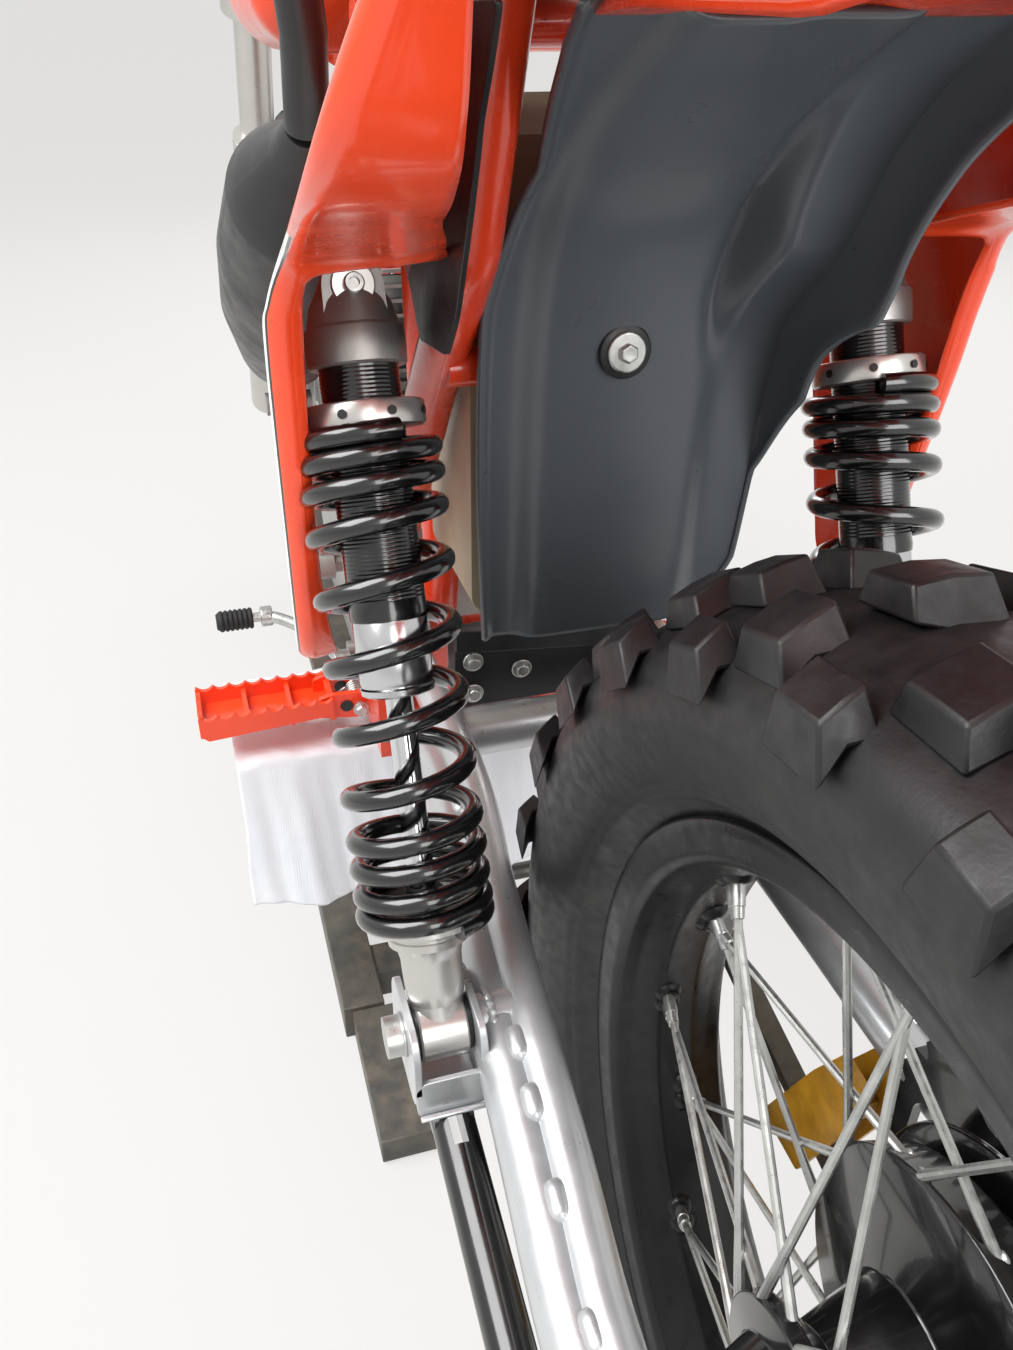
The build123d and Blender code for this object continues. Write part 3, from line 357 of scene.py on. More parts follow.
# Black anodised aluminium, turned: a dim metallic sheen with hardly any line in it
BLACK_ANODISED = Finish("anodised_rim", "black_alloy", "151517", "222226", 0.32, 0.08, metal=0.35,
                        mottle_mm=30, relief=Relief.BRUSHED, relief_mm=0.7, depth_mm=0.01)
# Sprayed gloss enamel: deep black with a sharp highlight
BLACK_ENAMEL = Finish("black_enamel", "black_paint", "0E0E0F", "18181A", 0.22, coat=0.6,
                      relief=Relief.PEEL, relief_mm=2.0, depth_mm=0.015)
# Powder coat on spring wire: gloss black, with a little more orange peel than enamel
SPRING_BLACK = Finish("powder_coat", "spring_paint", "08080A", "0E0E10", 0.24, 0.04, coat=0.8,
                      relief=Relief.PEEL, relief_mm=2.4, depth_mm=0.03)
# Heatproof silicone paint on pressed steel: satin, faded in patches
HEATPROOF = Finish("heatproof_black", "exhaust_paint", "1C1C1D", "29282A", 0.4, 0.1, mottle=0.6,
                   relief=Relief.CAST, relief_mm=1.4, depth_mm=0.03)
# Silver enamel over welded tube: metal flake and soft sheen
TUBE_SILVER = Finish("silver_enamel", "silver_paint", "C6C8CA", "AEB0B2", 0.33, 0.07, metal=0.6,
                     coat=0.2, mottle_mm=35, relief=Relief.PEEL, relief_mm=1.6, depth_mm=0.02)
# Turned aluminium: bright, with highlights drawn out by the tool's fine lines
TURNED_ALLOY = Finish("turned_alloy", "alloy", "CFCDC9", "C0BEBA", 0.3, 0.03, metal=0.9,
                      mottle_mm=60, relief=Relief.BRUSHED, relief_mm=0.5, depth_mm=0.004)
# Sand cast and blasted aluminium: grey, rough, with a soft sheen
CAST_ALLOY = Finish("cast_alloy", "alloy", "A9A8A5", "969592", 0.46, 0.05, metal=0.85, mottle=0.4,
                    relief=Relief.CAST, relief_mm=1.6, depth_mm=0.08)
# Zinc plate on steel: pale, with cloudy patches of 14 mm
ZINC = Finish("zinc_plate", "zinc_steel", "C4C5C2", "A3A4A0", 0.34, 0.1, metal=0.9, mottle=0.6,
              mottle_mm=14)
# Oiled steel plates and rollers: brown grey and dim
CHAIN_STEEL = Finish("oiled_chain", "zinc_steel", "6E675C", "46413A", 0.42, metal=0.85, mottle_mm=12)
# Centreless-ground steel sleeve: a clean mirror streak along it
SLEEVE = Finish("ground_sleeve", "zinc_steel", "CFD0D2", "B9BABD", 0.2, 0.05, metal=1.0,
                relief=Relief.BRUSHED, relief_mm=0.5, depth_mm=0.012)
# Hard chrome on the damper's rod: a mirror
HARD_CHROME = Finish("hard_chrome", "zinc_steel", "DADBDD", "C4C5C8", 0.09, 0.04, metal=1.0)
# Embossed vinyl over foam: leather grain of 1.8 mm and a dull highlight
VINYL = Finish("seat_vinyl", "seat_vinyl", "1D1D1F", "29292B", 0.5, sheen=0.15,
               relief=Relief.LEATHER, relief_mm=1.8, depth_mm=0.14)
# Pressed glass: clear and glossy
LAMP_CLEAR = Finish("lamp_glass", "lamp_glass", "E4EAEC", "DDE4E6", 0.06, 0.02, transmission=0.85,
                    coat=0.4)
# Moulded acrylic: deep red and glossy
LENS_RED = Finish("red_lens", "red_lens", "8E0F12", "6E0A0D", 0.12, 0.04, ior=1.49, coat=0.5)
# Brushed-on enamel over mill steel, worn and dusty: patches of bare brown grey
STAND_GREY = Finish("worn_stand_enamel", "stand_paint", "4B4A47", "6A655B", 0.5, 0.12, metal=0.3,
                    mottle=0.8, mottle_mm=28, relief=Relief.CAST, relief_mm=3.0, depth_mm=0.05, dust=0.5)
# Plain woven cotton: matt; real threads are 0.4 mm apart, drawn at 1.1 mm so that they show
RAG = Finish("cotton_rag", "rag_cotton", "EDEFF4", "DCE0EA", 0.85, sheen=0.3, mottle_mm=50,
             relief=Relief.WEAVE, relief_mm=1.1, depth_mm=0.12)


@dataclass
class Shell:
    """A surface: points in millimetres, four-sided faces, and flat caps of any number of sides."""

    points: Array
    quads: Array
    caps: list = field(default_factory=list)

    def mirrored(self) -> "Shell":
        """Return its mirror image across the motorcycle's middle plane."""
        return Shell(self.points * (1, -1, 1), self.quads[:, ::-1], [cap[::-1] for cap in self.caps])

    def copies(self, turns: Array, shifts: Array) -> "Shell":
        """Return one shell of many copies: copy k of point p lies at turns[k] @ p + shifts[k].

        Args:
            turns: (K, 3, 3) matrices.
            shifts: (K, 3) shifts.

        Returns:
            The copies as one shell.
        """
        count = len(self.points)
        points = np.einsum("kij,nj->kni", turns, self.points) + np.asarray(shifts)[:, None]
        starts = np.arange(len(turns)) * count
        quads = (self.quads[None] + starts[:, None, None]).reshape(-1, 4)
        caps = [[int(i + s) for i in cap] for s in starts for cap in self.caps]
        return Shell(points.reshape(-1, 3), quads, caps)


def joined(shells: Sequence[Shell]) -> Shell:
    """Join shells into one, without merging their points.

    Args:
        shells: The shells.

    Returns:
        One shell of them all.
    """
    points, quads, caps, start = [], [], [], 0
    for shell in shells:
        points.append(shell.points)
        quads.append(shell.quads.reshape(-1, 4) + start)
        caps += [[int(i + start) for i in cap] for cap in shell.caps]
        start += len(shell.points)
    return Shell(np.vstack(points), np.vstack(quads), caps)


def unit(vectors: Array) -> Array:
    """Scale vectors to length 1."""
    vectors = np.asarray(vectors, float)
    return vectors / np.linalg.norm(vectors, axis=-1, keepdims=True)


def net(grid: Array, wrap_u: bool = False, wrap_v: bool = False, capped: bool = False) -> Shell:
    """Join a grid of points by four-sided faces.

    Args:
        grid: (U, V, 3) points.
        wrap_u: Whether the last row joins the first.
        wrap_v: Whether the last column joins the first.
        capped: Whether the first and last rows are closed by a flat face.

    Returns:
        The surface.
    """
    rows, columns = grid.shape[:2]
    index = np.arange(rows * columns).reshape(rows, columns)
    caps = [index[0].tolist(), index[-1][::-1].tolist()] if capped else []
    if wrap_u:
        index = np.vstack([index, index[:1]])
    if wrap_v:
        index = np.hstack([index, index[:, :1]])
    corners = [index[:-1, :-1], index[1:, :-1], index[1:, 1:], index[:-1, 1:]]
    return Shell(grid.reshape(-1, 3), np.stack(corners, -1).reshape(-1, 4), caps)


def flowing(points: Sequence[Point], per_span: int = 8) -> Array:
    """Smooth line through points: on each span a cubic whose end slopes are half the chord
    between the neighbours (Catmull and Rom's curve).

    Args:
        points: (N, D) points.
        per_span: Steps on each span.

    Returns:
        The line's points.
    """
    p = np.asarray(points, float)
    ends = np.vstack([2 * p[0] - p[1], p, 2 * p[-1] - p[-2]])
    a, b, c, d = (x[:, None, :] for x in (ends[:-3], ends[1:-2], ends[2:-1], ends[3:]))
    t = np.linspace(0, 1, per_span, endpoint=False)[None, :, None]
    line = 0.5 * (2 * b + (c - a) * t + (2 * a - 5 * b + 4 * c - d) * t**2
                  + (3 * b - a - 3 * c + d) * t**3)
    return np.vstack([line.reshape(-1, p.shape[1]), p[-1:]])


def eased(points: Sequence[Point], reach: float, steps: int = 6, closed: bool = False) -> Array:
    """Round a line's corners: near corner C the line runs (1-t)^2 A + 2t(1-t) C + t^2 B, where A
    and B lie reach away along each side, or under half the side if it is short.

    Args:
        points: (N, D) corners.
        reach: Distance from a corner where its rounding starts.
        steps: Points on each rounding.
        closed: Whether the line is a closed outline.

    Returns:
        The rounded line's points.
    """
    p = np.asarray(points, float)
    before = np.roll(p, 1, axis=0)
    after = np.roll(p, -1, axis=0)
    to_before, to_after = before - p, after - p
    size_b = np.linalg.norm(to_before, axis=1, keepdims=True)
    size_a = np.linalg.norm(to_after, axis=1, keepdims=True)
    a = p + to_before * np.minimum(reach / size_b, 0.45)
    b = p + to_after * np.minimum(reach / size_a, 0.45)
    t = np.linspace(0, 1, steps)[None, :, None]
    curve = (1 - t) ** 2 * a[:, None] + 2 * t * (1 - t) * p[:, None] + t**2 * b[:, None]
    if closed:
        return curve.reshape(-1, p.shape[1])
    return np.vstack([p[:1], curve[1:-1].reshape(-1, p.shape[1]), p[-1:]])


def along(path: Array, section: Array, hint: Point = (0, 1, 0), closed: bool = False) -> Shell:
    """Carry a closed section along a path. The section's first coordinate lies on the hint
    direction made square to the path, and its second on the cross product of the two.

    Args:
        path: (N, 3) points.
        section: (M, 2) outline, or (N, M, 2) where it changes.
        hint: Direction never in line with the path.
        closed: Whether the path is a ring; otherwise its ends are capped.

    Returns:
        The surface.
    """
    path = np.asarray(path, float)
    if closed:
        tangent = unit(np.roll(path, -1, axis=0) - np.roll(path, 1, axis=0))
    else:
        tangent = unit(np.gradient(path, axis=0))
    hint = np.asarray(hint, float)
    side = unit(hint - tangent * (tangent @ hint)[:, None])
    up = np.cross(tangent, side)
    section = np.broadcast_to(section, (len(path),) + np.shape(section)[-2:])
    grid = path[:, None] + section[..., :1] * side[:, None] + section[..., 1:] * up[:, None]
    return net(grid, wrap_u=closed, wrap_v=True, capped=not closed)


def circle(sides: int, radius: float = 1.0) -> Array:
    """Return (sides, 2) points of a circle: radius*(cos a, sin a)."""
    turn = np.linspace(0, 2 * np.pi, sides, endpoint=False)
    return radius * np.stack([np.cos(turn), np.sin(turn)], -1)


def tube(points: Sequence[Point], diameter: float | Array, bend: float = 0.0, sides: int = 24,
         hint: Point = (0, 1, 0)) -> Shell:
    """Round tube through points, its corners eased by bend.

    Args:
        points: The route's corners.
        diameter: One diameter, or one for each point of a route without bends.
        bend: Reach of each corner's rounding.
        sides: Faces round the tube.
        hint: Direction never in line with the tube.

    Returns:
        The tube, closed at its ends.
    """
    path = eased(points, bend, 8) if bend else np.asarray(points, float)
    size = np.broadcast_to(np.asarray(diameter, float) / 2, (len(path),))
    return along(path, circle(sides)[None] * size[:, None, None], hint)


def lathe(profile: Sequence[Point], centre: Point = (0, 0, 0), axis: Point = (0, 1, 0),
          sides: int = 64, ring: bool = False) -> Shell:
    """Turn a profile about an axis: the point (a, r) goes to centre + a*axis + r*(cos, sin).

    Args:
        profile: (distance along the axis, radius) pairs.
        centre: Point that distances are measured from.
        axis: The axis's direction.
        sides: Steps round the axis.
        ring: Whether the profile is closed.

    Returns:
        The surface of revolution.
    """
    profile = np.asarray(profile, float)
    axis = unit(axis)
    start = np.array((0.0, 0, 1)) if abs(axis[2]) < 0.9 else np.array((1.0, 0, 0))
    first = unit(start - axis * (start @ axis))
    second = np.cross(axis, first)
    turn = np.linspace(0, 2 * np.pi, sides, endpoint=False)
    spin = np.cos(turn)[:, None] * first + np.sin(turn)[:, None] * second
    grid = np.asarray(centre, float) + profile[:, None, :1] * axis + profile[:, None, 1:] * spin[None]
    return net(grid, wrap_u=ring, wrap_v=True)


def prism(outline: Sequence[Point], low: float, high: float) -> Shell:
    """Plate between two Y values, from its outline in side view.

    Args:
        outline: (x, z) points.
        low: Lowest Y.
        high: Highest Y.

    Returns:
        The closed plate.
    """
    outline = np.asarray(outline, float)
    layers = [np.insert(outline, 1, y, axis=1) for y in (low, high)]
    return net(np.stack(layers), wrap_v=True, capped=True)


def slab(outline: Sequence[Point], rear: float, front: float) -> Shell:
    """Plate between two X values, from its outline in rear view.

    Args:
        outline: (y, z) points.
        rear: Lowest X.
        front: Highest X.

    Returns:
        The closed plate.
    """
    outline = np.asarray(outline, float)
    layers = [np.insert(outline, 0, x, axis=1) for x in (rear, front)]
    return net(np.stack(layers), wrap_v=True, capped=True)


def brick(low: Point, high: Point) -> Shell:
    """Box from its lowest corner to its highest."""
    outline = [(low[0], low[2]), (high[0], low[2]), (high[0], high[2]), (low[0], high[2])]
    return prism(outline, low[1], high[1])


def frame_of(direction: Point, side: Point = (0, 1, 0)) -> Array:
    """Make three square axes: the last lies along a direction, the middle one is the side made
    square to it, and the first is the cross product of those two.

    Args:
        direction: Any length.
        side: Direction never in line with it.

    Returns:
        (3, 3) matrix whose columns are the axes.
    """
    up = unit(direction)
    across = unit(np.asarray(side, float) - up * (up @ np.asarray(side, float)))
    return np.stack([np.cross(across, up), across, up], -1)


def turn_y(angles: Array) -> Array:
    """Make matrices that turn +X towards +Z, about a wheel's axle.

    Args:
        angles: (N,) angles.

    Returns:
        (N, 3, 3) matrices.
    """
    zero, one = np.zeros_like(angles), np.ones_like(angles)
    c, s = np.cos(angles), np.sin(angles)
    rows = [np.stack(r, -1) for r in ((c, zero, -s), (zero, one, zero), (s, zero, c))]
    return np.stack(rows, -2)


def turn_z(angles: Array) -> Array:
    """Make matrices that turn +X towards +Y: those of turn_y with their last two axes swapped."""
    return turn_y(angles)[:, [0, 2, 1]][:, :, [0, 2, 1]]


def hexagon(centre: Point, direction: Point, across: float, height: float, washer: float = 0.0) -> Shell:
    """Hexagon head with chamfered corners, on a washer where one is asked for.

    Args:
        centre: Middle of the face it sits on.
        direction: Outward direction.
        across: Size across flats.
        height: Height of the head.
        washer: Washer's diameter, or 0 for none.

    Returns:
        The head and its washer.
    """
    r = across / 2 / math.cos(math.radians(30))
    base = 1.6 if washer else 0.0
    top = base + height
    head = lathe([(base, 0), (base, r), (top - 1, r), (top, r * 0.87), (top, r * 0.5), (top - 0.6, 0)],
                 centre, direction, 6)
    if not washer:
        return head
    plate = lathe([(0, 0), (0, washer / 2), (base, washer / 2), (base, 0)], centre, direction, 32)
    return joined([plate, head])


def weld_ring(centre: Point, axis: Point, radius: float, width: float, ripple: float = 4.0) -> Shell:
    """Weld bead round a tube where it meets another piece: a ring of four steps to a ripple, whose
    thickness is width*(0.86 + 0.14*cos(2*pi*s/ripple)) at s round it.

    Args:
        centre: The ring's middle.
        axis: The tube's direction.
        radius: The tube's radius.
        width: The bead's width.
        ripple: Length of one ripple.

    Returns:
        The bead.
    """
    frame = frame_of(axis, (0.3, 0.5, 0.8))
    line = np.asarray(centre, float) + radius * circle(48) @ frame[:, :2].T
    line = np.vstack([line, line[:1]])
    run = np.concatenate([[0], np.cumsum(np.linalg.norm(np.diff(line, axis=0), axis=1))])
    at = np.linspace(0, run[-1], int(run[-1] / ripple * 4), endpoint=False)
    path = np.stack([np.interp(at, run, line[:, i]) for i in range(3)], -1)
    swell = width / 2 * (0.86 + 0.14 * np.cos(2 * np.pi * at / ripple))
    return along(path, circle(10)[None] * swell[:, None, None], axis, closed=True)


Part = tuple[Shell, Finish]
SIDES = {"left": 1.0, "right": -1.0}


@dataclass
class Bench:
    """Where pieces are made. It turns millimetres from the rear axle into the frame's metres."""

    axle: Array
    made: int = 0

    def to_frame(self, points: Array) -> Array:
        """Turn millimetres from the rear axle into the frame's metres."""
        return np.asarray(points, float) * MM + self.axle

    def from_frame(self, points: Array) -> Array:
        """Turn the frame's metres into millimetres from the rear axle."""
        return (points - self.axle) / MM

    def enrol(self, piece: bpy.types.Object, body: str = "root",
              replaces: Sequence[str] = ()) -> None:
        """Args:
            piece: The piece.
            body: Body that it rides on.
            replaces: CAD nodes that it stands for.
        """
        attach(piece, body)
        if replaces:
            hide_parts(*replaces)
        self.made += 1
        LOG.info("%s rides on %s", piece.name, body)

    def add(self, name: str, parts: Sequence[Part], body: str = "root", replaces: Sequence[str] = (),
            bevel: float = 0.0, smooth: float = 32.0, thick: float = 0.0) -> bpy.types.Object:
        """Make one piece from shells, each with its finish: merge its doubles, turn its faces
        outwards, then add its wall and its rounded edges.

        Args:
            name: The piece's name.
            parts: (shell, finish) pairs.
            body: Body that it rides on.
            replaces: CAD nodes that it stands for.
            bevel: Width of rounded edges, in mm.
            smooth: Edges sharper than this many degrees stay crisp.
            thick: Wall given to an open sheet, in mm.

        Returns:
            The piece.
        """
        finishes = list(dict.fromkeys(finish for _, finish in parts))
        whole = joined([shell for shell, _ in parts])
        mesh = bpy.data.meshes.new(name)
        mesh.from_pydata(self.to_frame(whole.points).tolist(), [], whole.quads.tolist() + whole.caps)
        marks = [np.full(len(shell.quads), finishes.index(finish)) for shell, finish in parts]
        marks += [np.full(len(shell.caps), finishes.index(finish)) for shell, finish in parts]
        mesh.polygons.foreach_set("material_index", np.concatenate(marks))
        work = bmesh.new()
        work.from_mesh(mesh)
        bmesh.ops.remove_doubles(work, verts=work.verts, dist=MERGE_MM * MM)
        bmesh.ops.recalc_face_normals(work, faces=work.faces)
        work.to_mesh(mesh)
        work.free()
        for finish in finishes:
            mesh.materials.append(material_of(finish))
        mesh.shade_smooth()
        mesh.set_sharp_from_angle(angle=math.radians(smooth))
        piece = new_object(name, mesh)
        if thick:
            wall = piece.modifiers.new("wall", "SOLIDIFY")
            wall.thickness = thick * MM
            wall.offset = 0.0
        if bevel:
            edges = piece.modifiers.new("edges", "BEVEL")
            edges.width = bevel * MM
            edges.segments = 2
            edges.limit_method = "ANGLE"
            edges.angle_limit = math.radians(ROUND_FROM)
        self.enrol(piece, body, replaces)
        return piece

    def dress(self, node: str, finish: Finish, body: str, bevel: float) -> None:
        """Copy a CAD node's triangles, merge them, and give them a finish.

        Args:
            node: The CAD node.
            finish: Its finish.
            body: Body that it rides on.
            bevel: Width of rounded edges, in mm.
        """
        source = bpy.data.objects[node].data
        corners = np.empty(len(source.loops), np.int32)
        source.loops.foreach_get("vertex_index", corners)
        copy = Shell(self.from_frame(read(source.vertices, "co")), np.empty((0, 4), int),
                     corners.reshape(-1, 3).tolist())
        self.add(node + "_finished", [(copy, finish)], body, (node,), bevel)

    def remeshed(self, node: str, name: str, finishes: Sequence[Finish],
                 voxel: float) -> bpy.types.Object:
        """Copy a CAD node's mesh into a new object with even faces.

        Args:
            node: The CAD node.
            name: The new object's name.
            finishes: Its finishes.
            voxel: Size of its faces, in metres.

        Returns:
            The new object, not yet enrolled.
        """
        mesh = bpy.data.objects[node].data.copy()
        mesh.name = name
        mesh.materials.clear()
        for finish in finishes:
            mesh.materials.append(material_of(finish))
        piece = new_object(name, mesh)
        reshape(piece, "REMESH", mode="VOXEL", voxel_size=voxel)
        return piece


def baked(piece: bpy.types.Object) -> bpy.types.Mesh:
    """Return a new mesh of a piece with its modifiers in it."""
    return bpy.data.meshes.new_from_object(piece.evaluated_get(bpy.context.evaluated_depsgraph_get()))


def reshape(piece: bpy.types.Object, kind: str, **settings: object) -> None:
    """Add a modifier and write its result into the mesh.

    Args:
        piece: The piece.
        kind: The modifier's type.
        settings: Its settings by name.
    """
    change = piece.modifiers.new(kind.lower(), kind)
    for name, value in settings.items():
        setattr(change, name, value)
    mesh = baked(piece)
    piece.modifiers.remove(change)
    piece.data = mesh


@dataclass
class KnobbyTyre:
    """Off-road tyre: a round carcass with separate moulded blocks.

    The tips of the blocks lie on crown - drop*(y/half)^2 at y across the tread.
    """

    centre: Point
    seat: float
    crown: float
    half: float
    rim_half: float
    drop: float
    pitches: int
    first: float
    # Carcass wall: (share of the half width, depth below the crown)
    wall: tuple = ((0, 15), (0.4, 17.5), (0.72, 27), (0.87, 37), (0.925, 50), (0.9, 66), (0.8, 83))
    line_width: float = 1.3
    # One repeat of the tread, drawn at this half width: (inner Y, outer Y, length, foot's depth,
    # place in pitches) of the blocks on one side, and then of the one on the crown
    plan_half: float = 68.0
    plan: tuple = ((52, 66.5, 25, 20, 0.0), (54, 67, 22, 20, 1.0), (23, 45, 26, 13, -0.41),
                   (34, 55, 25, 16, 0.55), (9, 30, 24, 13, -0.75))
    crown_block: tuple = (-15, 15, 24, 12, 0.4)
    flare: float = 4.5

    def tip(self, y: float) -> float:
        """Return the radius of the block tips at y across the tread."""
        return self.crown - self.drop * (y / self.half) ** 2

    def carcass(self) -> Shell:
        """Return the carcass: a smooth ring through points of the section. A fine line at radius q
        stands high*exp(-((r - q)/line_width)^2) proud of the wall.

        Returns:
            The ring.
        """
        bead, flange = self.rim_half - 0.4, self.seat + 14
        section = [(share * self.half, self.crown - depth) for share, depth in self.wall]
        line = flowing([*section, (0.66 * self.half, flange + 9)], 7)
        for radius, high in ((flange + 11, 0.9), (flange + 16, 0.6), (self.crown - 58, 0.7)):
            swell = high * np.exp(-((line[:, 1] - radius) / self.line_width) ** 2)
            line = line + swell[:, None] * (1, 0)
        foot = [(bead + 3, flange + 3), (bead, flange - 1), (bead, self.seat + 0.5)]
        half = np.vstack([line, foot])
        return lathe(np.vstack([half[::-1], half[1:] * (-1, 1)]), self.centre, sides=192, ring=True)

    def block(self, inner: float, outer: float, length: float, foot: float) -> Shell:
        """Return one block at angle 0: its top follows the tips and its foot is wider by the flare.

        Args:
            inner: Y of its edge nearest the middle.
            outer: Y of its other edge.
            length: Length of its top round the wheel.
            foot: Depth of its outer edge below the tips.

        Returns:
            The block, standing on the carcass.
        """
        middle = (inner + outer) / 2
        floor = self.tip(inner) - 16
        low = [(floor, inner - self.flare), (floor - 1, middle),
               (self.tip(outer) - foot, outer + 0.3 * self.flare)]
        top = [(self.tip(y), y) for y in (inner, middle, outer)]
        ends = ((low, -length / 2 - self.flare), (top, -length / 2), (top, length / 2),
                (low, length / 2 + self.flare))
        shell = net(np.stack([np.insert(np.array(line), 2, place, axis=1) for line, place in ends]),
                    wrap_u=True)
        # The two flat sides: the first and the last point of each of the four lines
        return Shell(shell.points, shell.quads, [[0, 3, 6, 9], [11, 8, 5, 2]])

    def blocks(self) -> Shell:
        """Return every block: a pattern of two shoulder rows, two middle rows and the crown, that
        repeats every other pitch.

        Returns:
            The blocks as one shell.
        """
        scale = self.half / self.plan_half
        step = 2 * math.pi / self.pitches
        pieces = []
        for inner, outer, length, foot, place in self.plan:
            left = self.block(inner * scale, outer * scale, length, foot)
            pieces += [(left, place), (left.mirrored(), place)]
        inner, outer, length, foot, place = self.crown_block
        pieces.append((self.block(inner * scale, outer * scale, length, foot), place))
        repeats = 2 * step * np.arange(self.pitches // 2)
        centres = np.tile(np.asarray(self.centre, float), (len(repeats), 1))
        return joined([shell.copies(turn_y(self.first - place * step + repeats), centres)
                       for shell, place in pieces])

    def build(self, bench: Bench, node: str, body: str) -> None:
        """Make the tyre in place of its node.

        Args:
            bench: Where it is made.
            node: The tyre's CAD node.
            body: Body that it turns with.
        """
        bench.add(node + "_carcass", [(self.carcass(), TREAD)], body, (node,))
        bench.add(node + "_blocks", [(self.blocks(), TREAD)], body, bevel=1.3)


@dataclass
class SpokedWheel:
    """Rim with nipple bosses, crossed spokes with bent heads and square-shouldered nipples, and a hub.

    A flange is (side, y, radius), and hub is its profile of (y, radius). Each spoke leaves its flange
    at one angle and meets the rim lacing hole spacings further round, either way.
    """

    centre: Point
    seat: float
    half: float
    flanges: tuple
    hub: tuple
    hub_finish: Finish
    spokes: int = 36
    lacing: float = 0.9
    # From the bead seat in to the rim's inner face
    depth: float = 17.8
    # How far a spoke's head lies from its flange's middle, and where its thin part starts
    head_out: float = 2.2
    thin_from: float = 60.0

    @property
    def inner(self) -> float:
        """Radius of the rim's inner face."""
        return self.seat - self.depth

    def rim(self) -> Shell:
        """Return the rim's ring: hooked flanges, bead seats, a well, and a rolled inner face.

        Returns:
            The ring.
        """
        h, s, i = self.half, self.seat, self.inner
        seat = [(0, s - 13), (h * 0.4, s - 13), (h * 0.62, s - 4), (h - 1, s)]
        flange = [(h, s + 2), (h, s + 11), (h + 1.5, s + 13.5), (h + 3.6, s + 12.5), (h + 4, s + 8),
                  (h + 3, s + 2), (h + 2.2, s - 4), (h - 1, s - 8), (h * 0.72, s - 11),
                  (h * 0.42, i + 1.8), (h * 0.3, i + 0.2), (0, i)]
        line = np.vstack([seat, eased(flange, 1.8, 5)])
        return lathe(np.vstack([line, line[-2:0:-1] * (-1, 1)]), self.centre, sides=180, ring=True)

    def ends(self) -> tuple[Array, Array]:
        """Return where the spokes start and end.

        Returns:
            (N, 3) starts at the flanges and (N, 3) ends at the rim.
        """
        per_row = self.spokes // 4
        step = 2 * math.pi / per_row
        starts, ends = [], []
        for row, (side, y, radius) in enumerate(self.flanges):
            for lean in (-1, 1):
                hub = step * (np.arange(per_row) + 0.5 * row) + lean * step / 8
                rim = hub + lean * self.lacing * step
                head = np.full(per_row, y + lean * self.head_out)
                hole = np.full(per_row, side * self.half * 0.2)
                starts.append(np.stack([radius * np.cos(hub), head, radius * np.sin(hub)], -1))
                ends.append(np.stack([self.inner * np.cos(rim), hole, self.inner * np.sin(rim)], -1))
        centre = np.asarray(self.centre, float)
        return np.vstack(starts) + centre, np.vstack(ends) + centre

    def laced(self) -> tuple[Shell, Shell, Shell]:
        """Return the spokes, their nipples, and the rim's bosses under them.

        Each is one shape along +Z that is copied to every spoke. A spoke's thin part is 1 mm long
        and stretched to the spoke's own length.

        Returns:
            (spokes, nipples, bosses).
        """
        starts, ends = self.ends()
        run = ends - starts
        turns = np.stack([frame_of(way, (0.2, 1, 0.1)) for way in run])
        up = (0, 0, 1)
        butt = lathe([(0, 0), (0, 2.5), (16, 2.5), (34, 2.1), (self.thin_from, 2.1)], axis=up, sides=10)
        thin = lathe([(0, 2.1), (1, 2.1)], axis=up, sides=10)
        nipple = lathe([(-19, 0), (-19, 2.1), (-18.4, 3.0), (-13, 3.2), (-12.6, 3.6), (-3, 3.6),
                        (-2, 3.2), (0, 3.2), (1, 4.6), (3, 4.6), (3, 0)], axis=up, sides=12)
        boss = lathe([(-2.6, 0), (-2.6, 4.6), (-2.1, 5.8), (-0.6, 7.2), (1.5, 8.4), (3, 9)], axis=up,
                     sides=20)
        head = lathe([(-3.4, 0), (-3.4, 2.4), (-2.6, 3.4), (-1.6, 3.6), (0, 2.4)], sides=12)
        stretch = np.ones((len(run), 1, 3))
        stretch[:, 0, 2] = np.linalg.norm(run, axis=1) - self.thin_from
        upright = np.broadcast_to(np.eye(3), turns.shape)
        spokes = joined([butt.copies(turns, starts),
                         thin.copies(turns * stretch, starts + unit(run) * self.thin_from),
                         head.copies(upright, starts)])
        return spokes, nipple.copies(turns, ends), boss.copies(turns, ends)

    def build(self, bench: Bench, rim_node: str, hub_node: str, body: str) -> None:
        """Make the wheel in place of its rim and hub nodes.

        Args:
            bench: Where it is made.
            rim_node: The rim's CAD node.
            hub_node: CAD node of the hub and spokes.
            body: Body that it turns with.
        """
        spokes, nipples, bosses = self.laced()
        bench.add(rim_node + "_profile", [(self.rim(), BLACK_ANODISED), (bosses, BLACK_ANODISED)], body,
                  (rim_node,))
        hub = lathe([*self.hub, self.hub[0]], self.centre, sides=96)
        bench.add(hub_node + "_shell", [(hub, self.hub_finish)], body, (hub_node,), bevel=0.8)
        bench.add(hub_node + "_spokes", [(spokes, ZINC)], body)
        bench.add(hub_node + "_nipples", [(nipples, ZINC)], body)


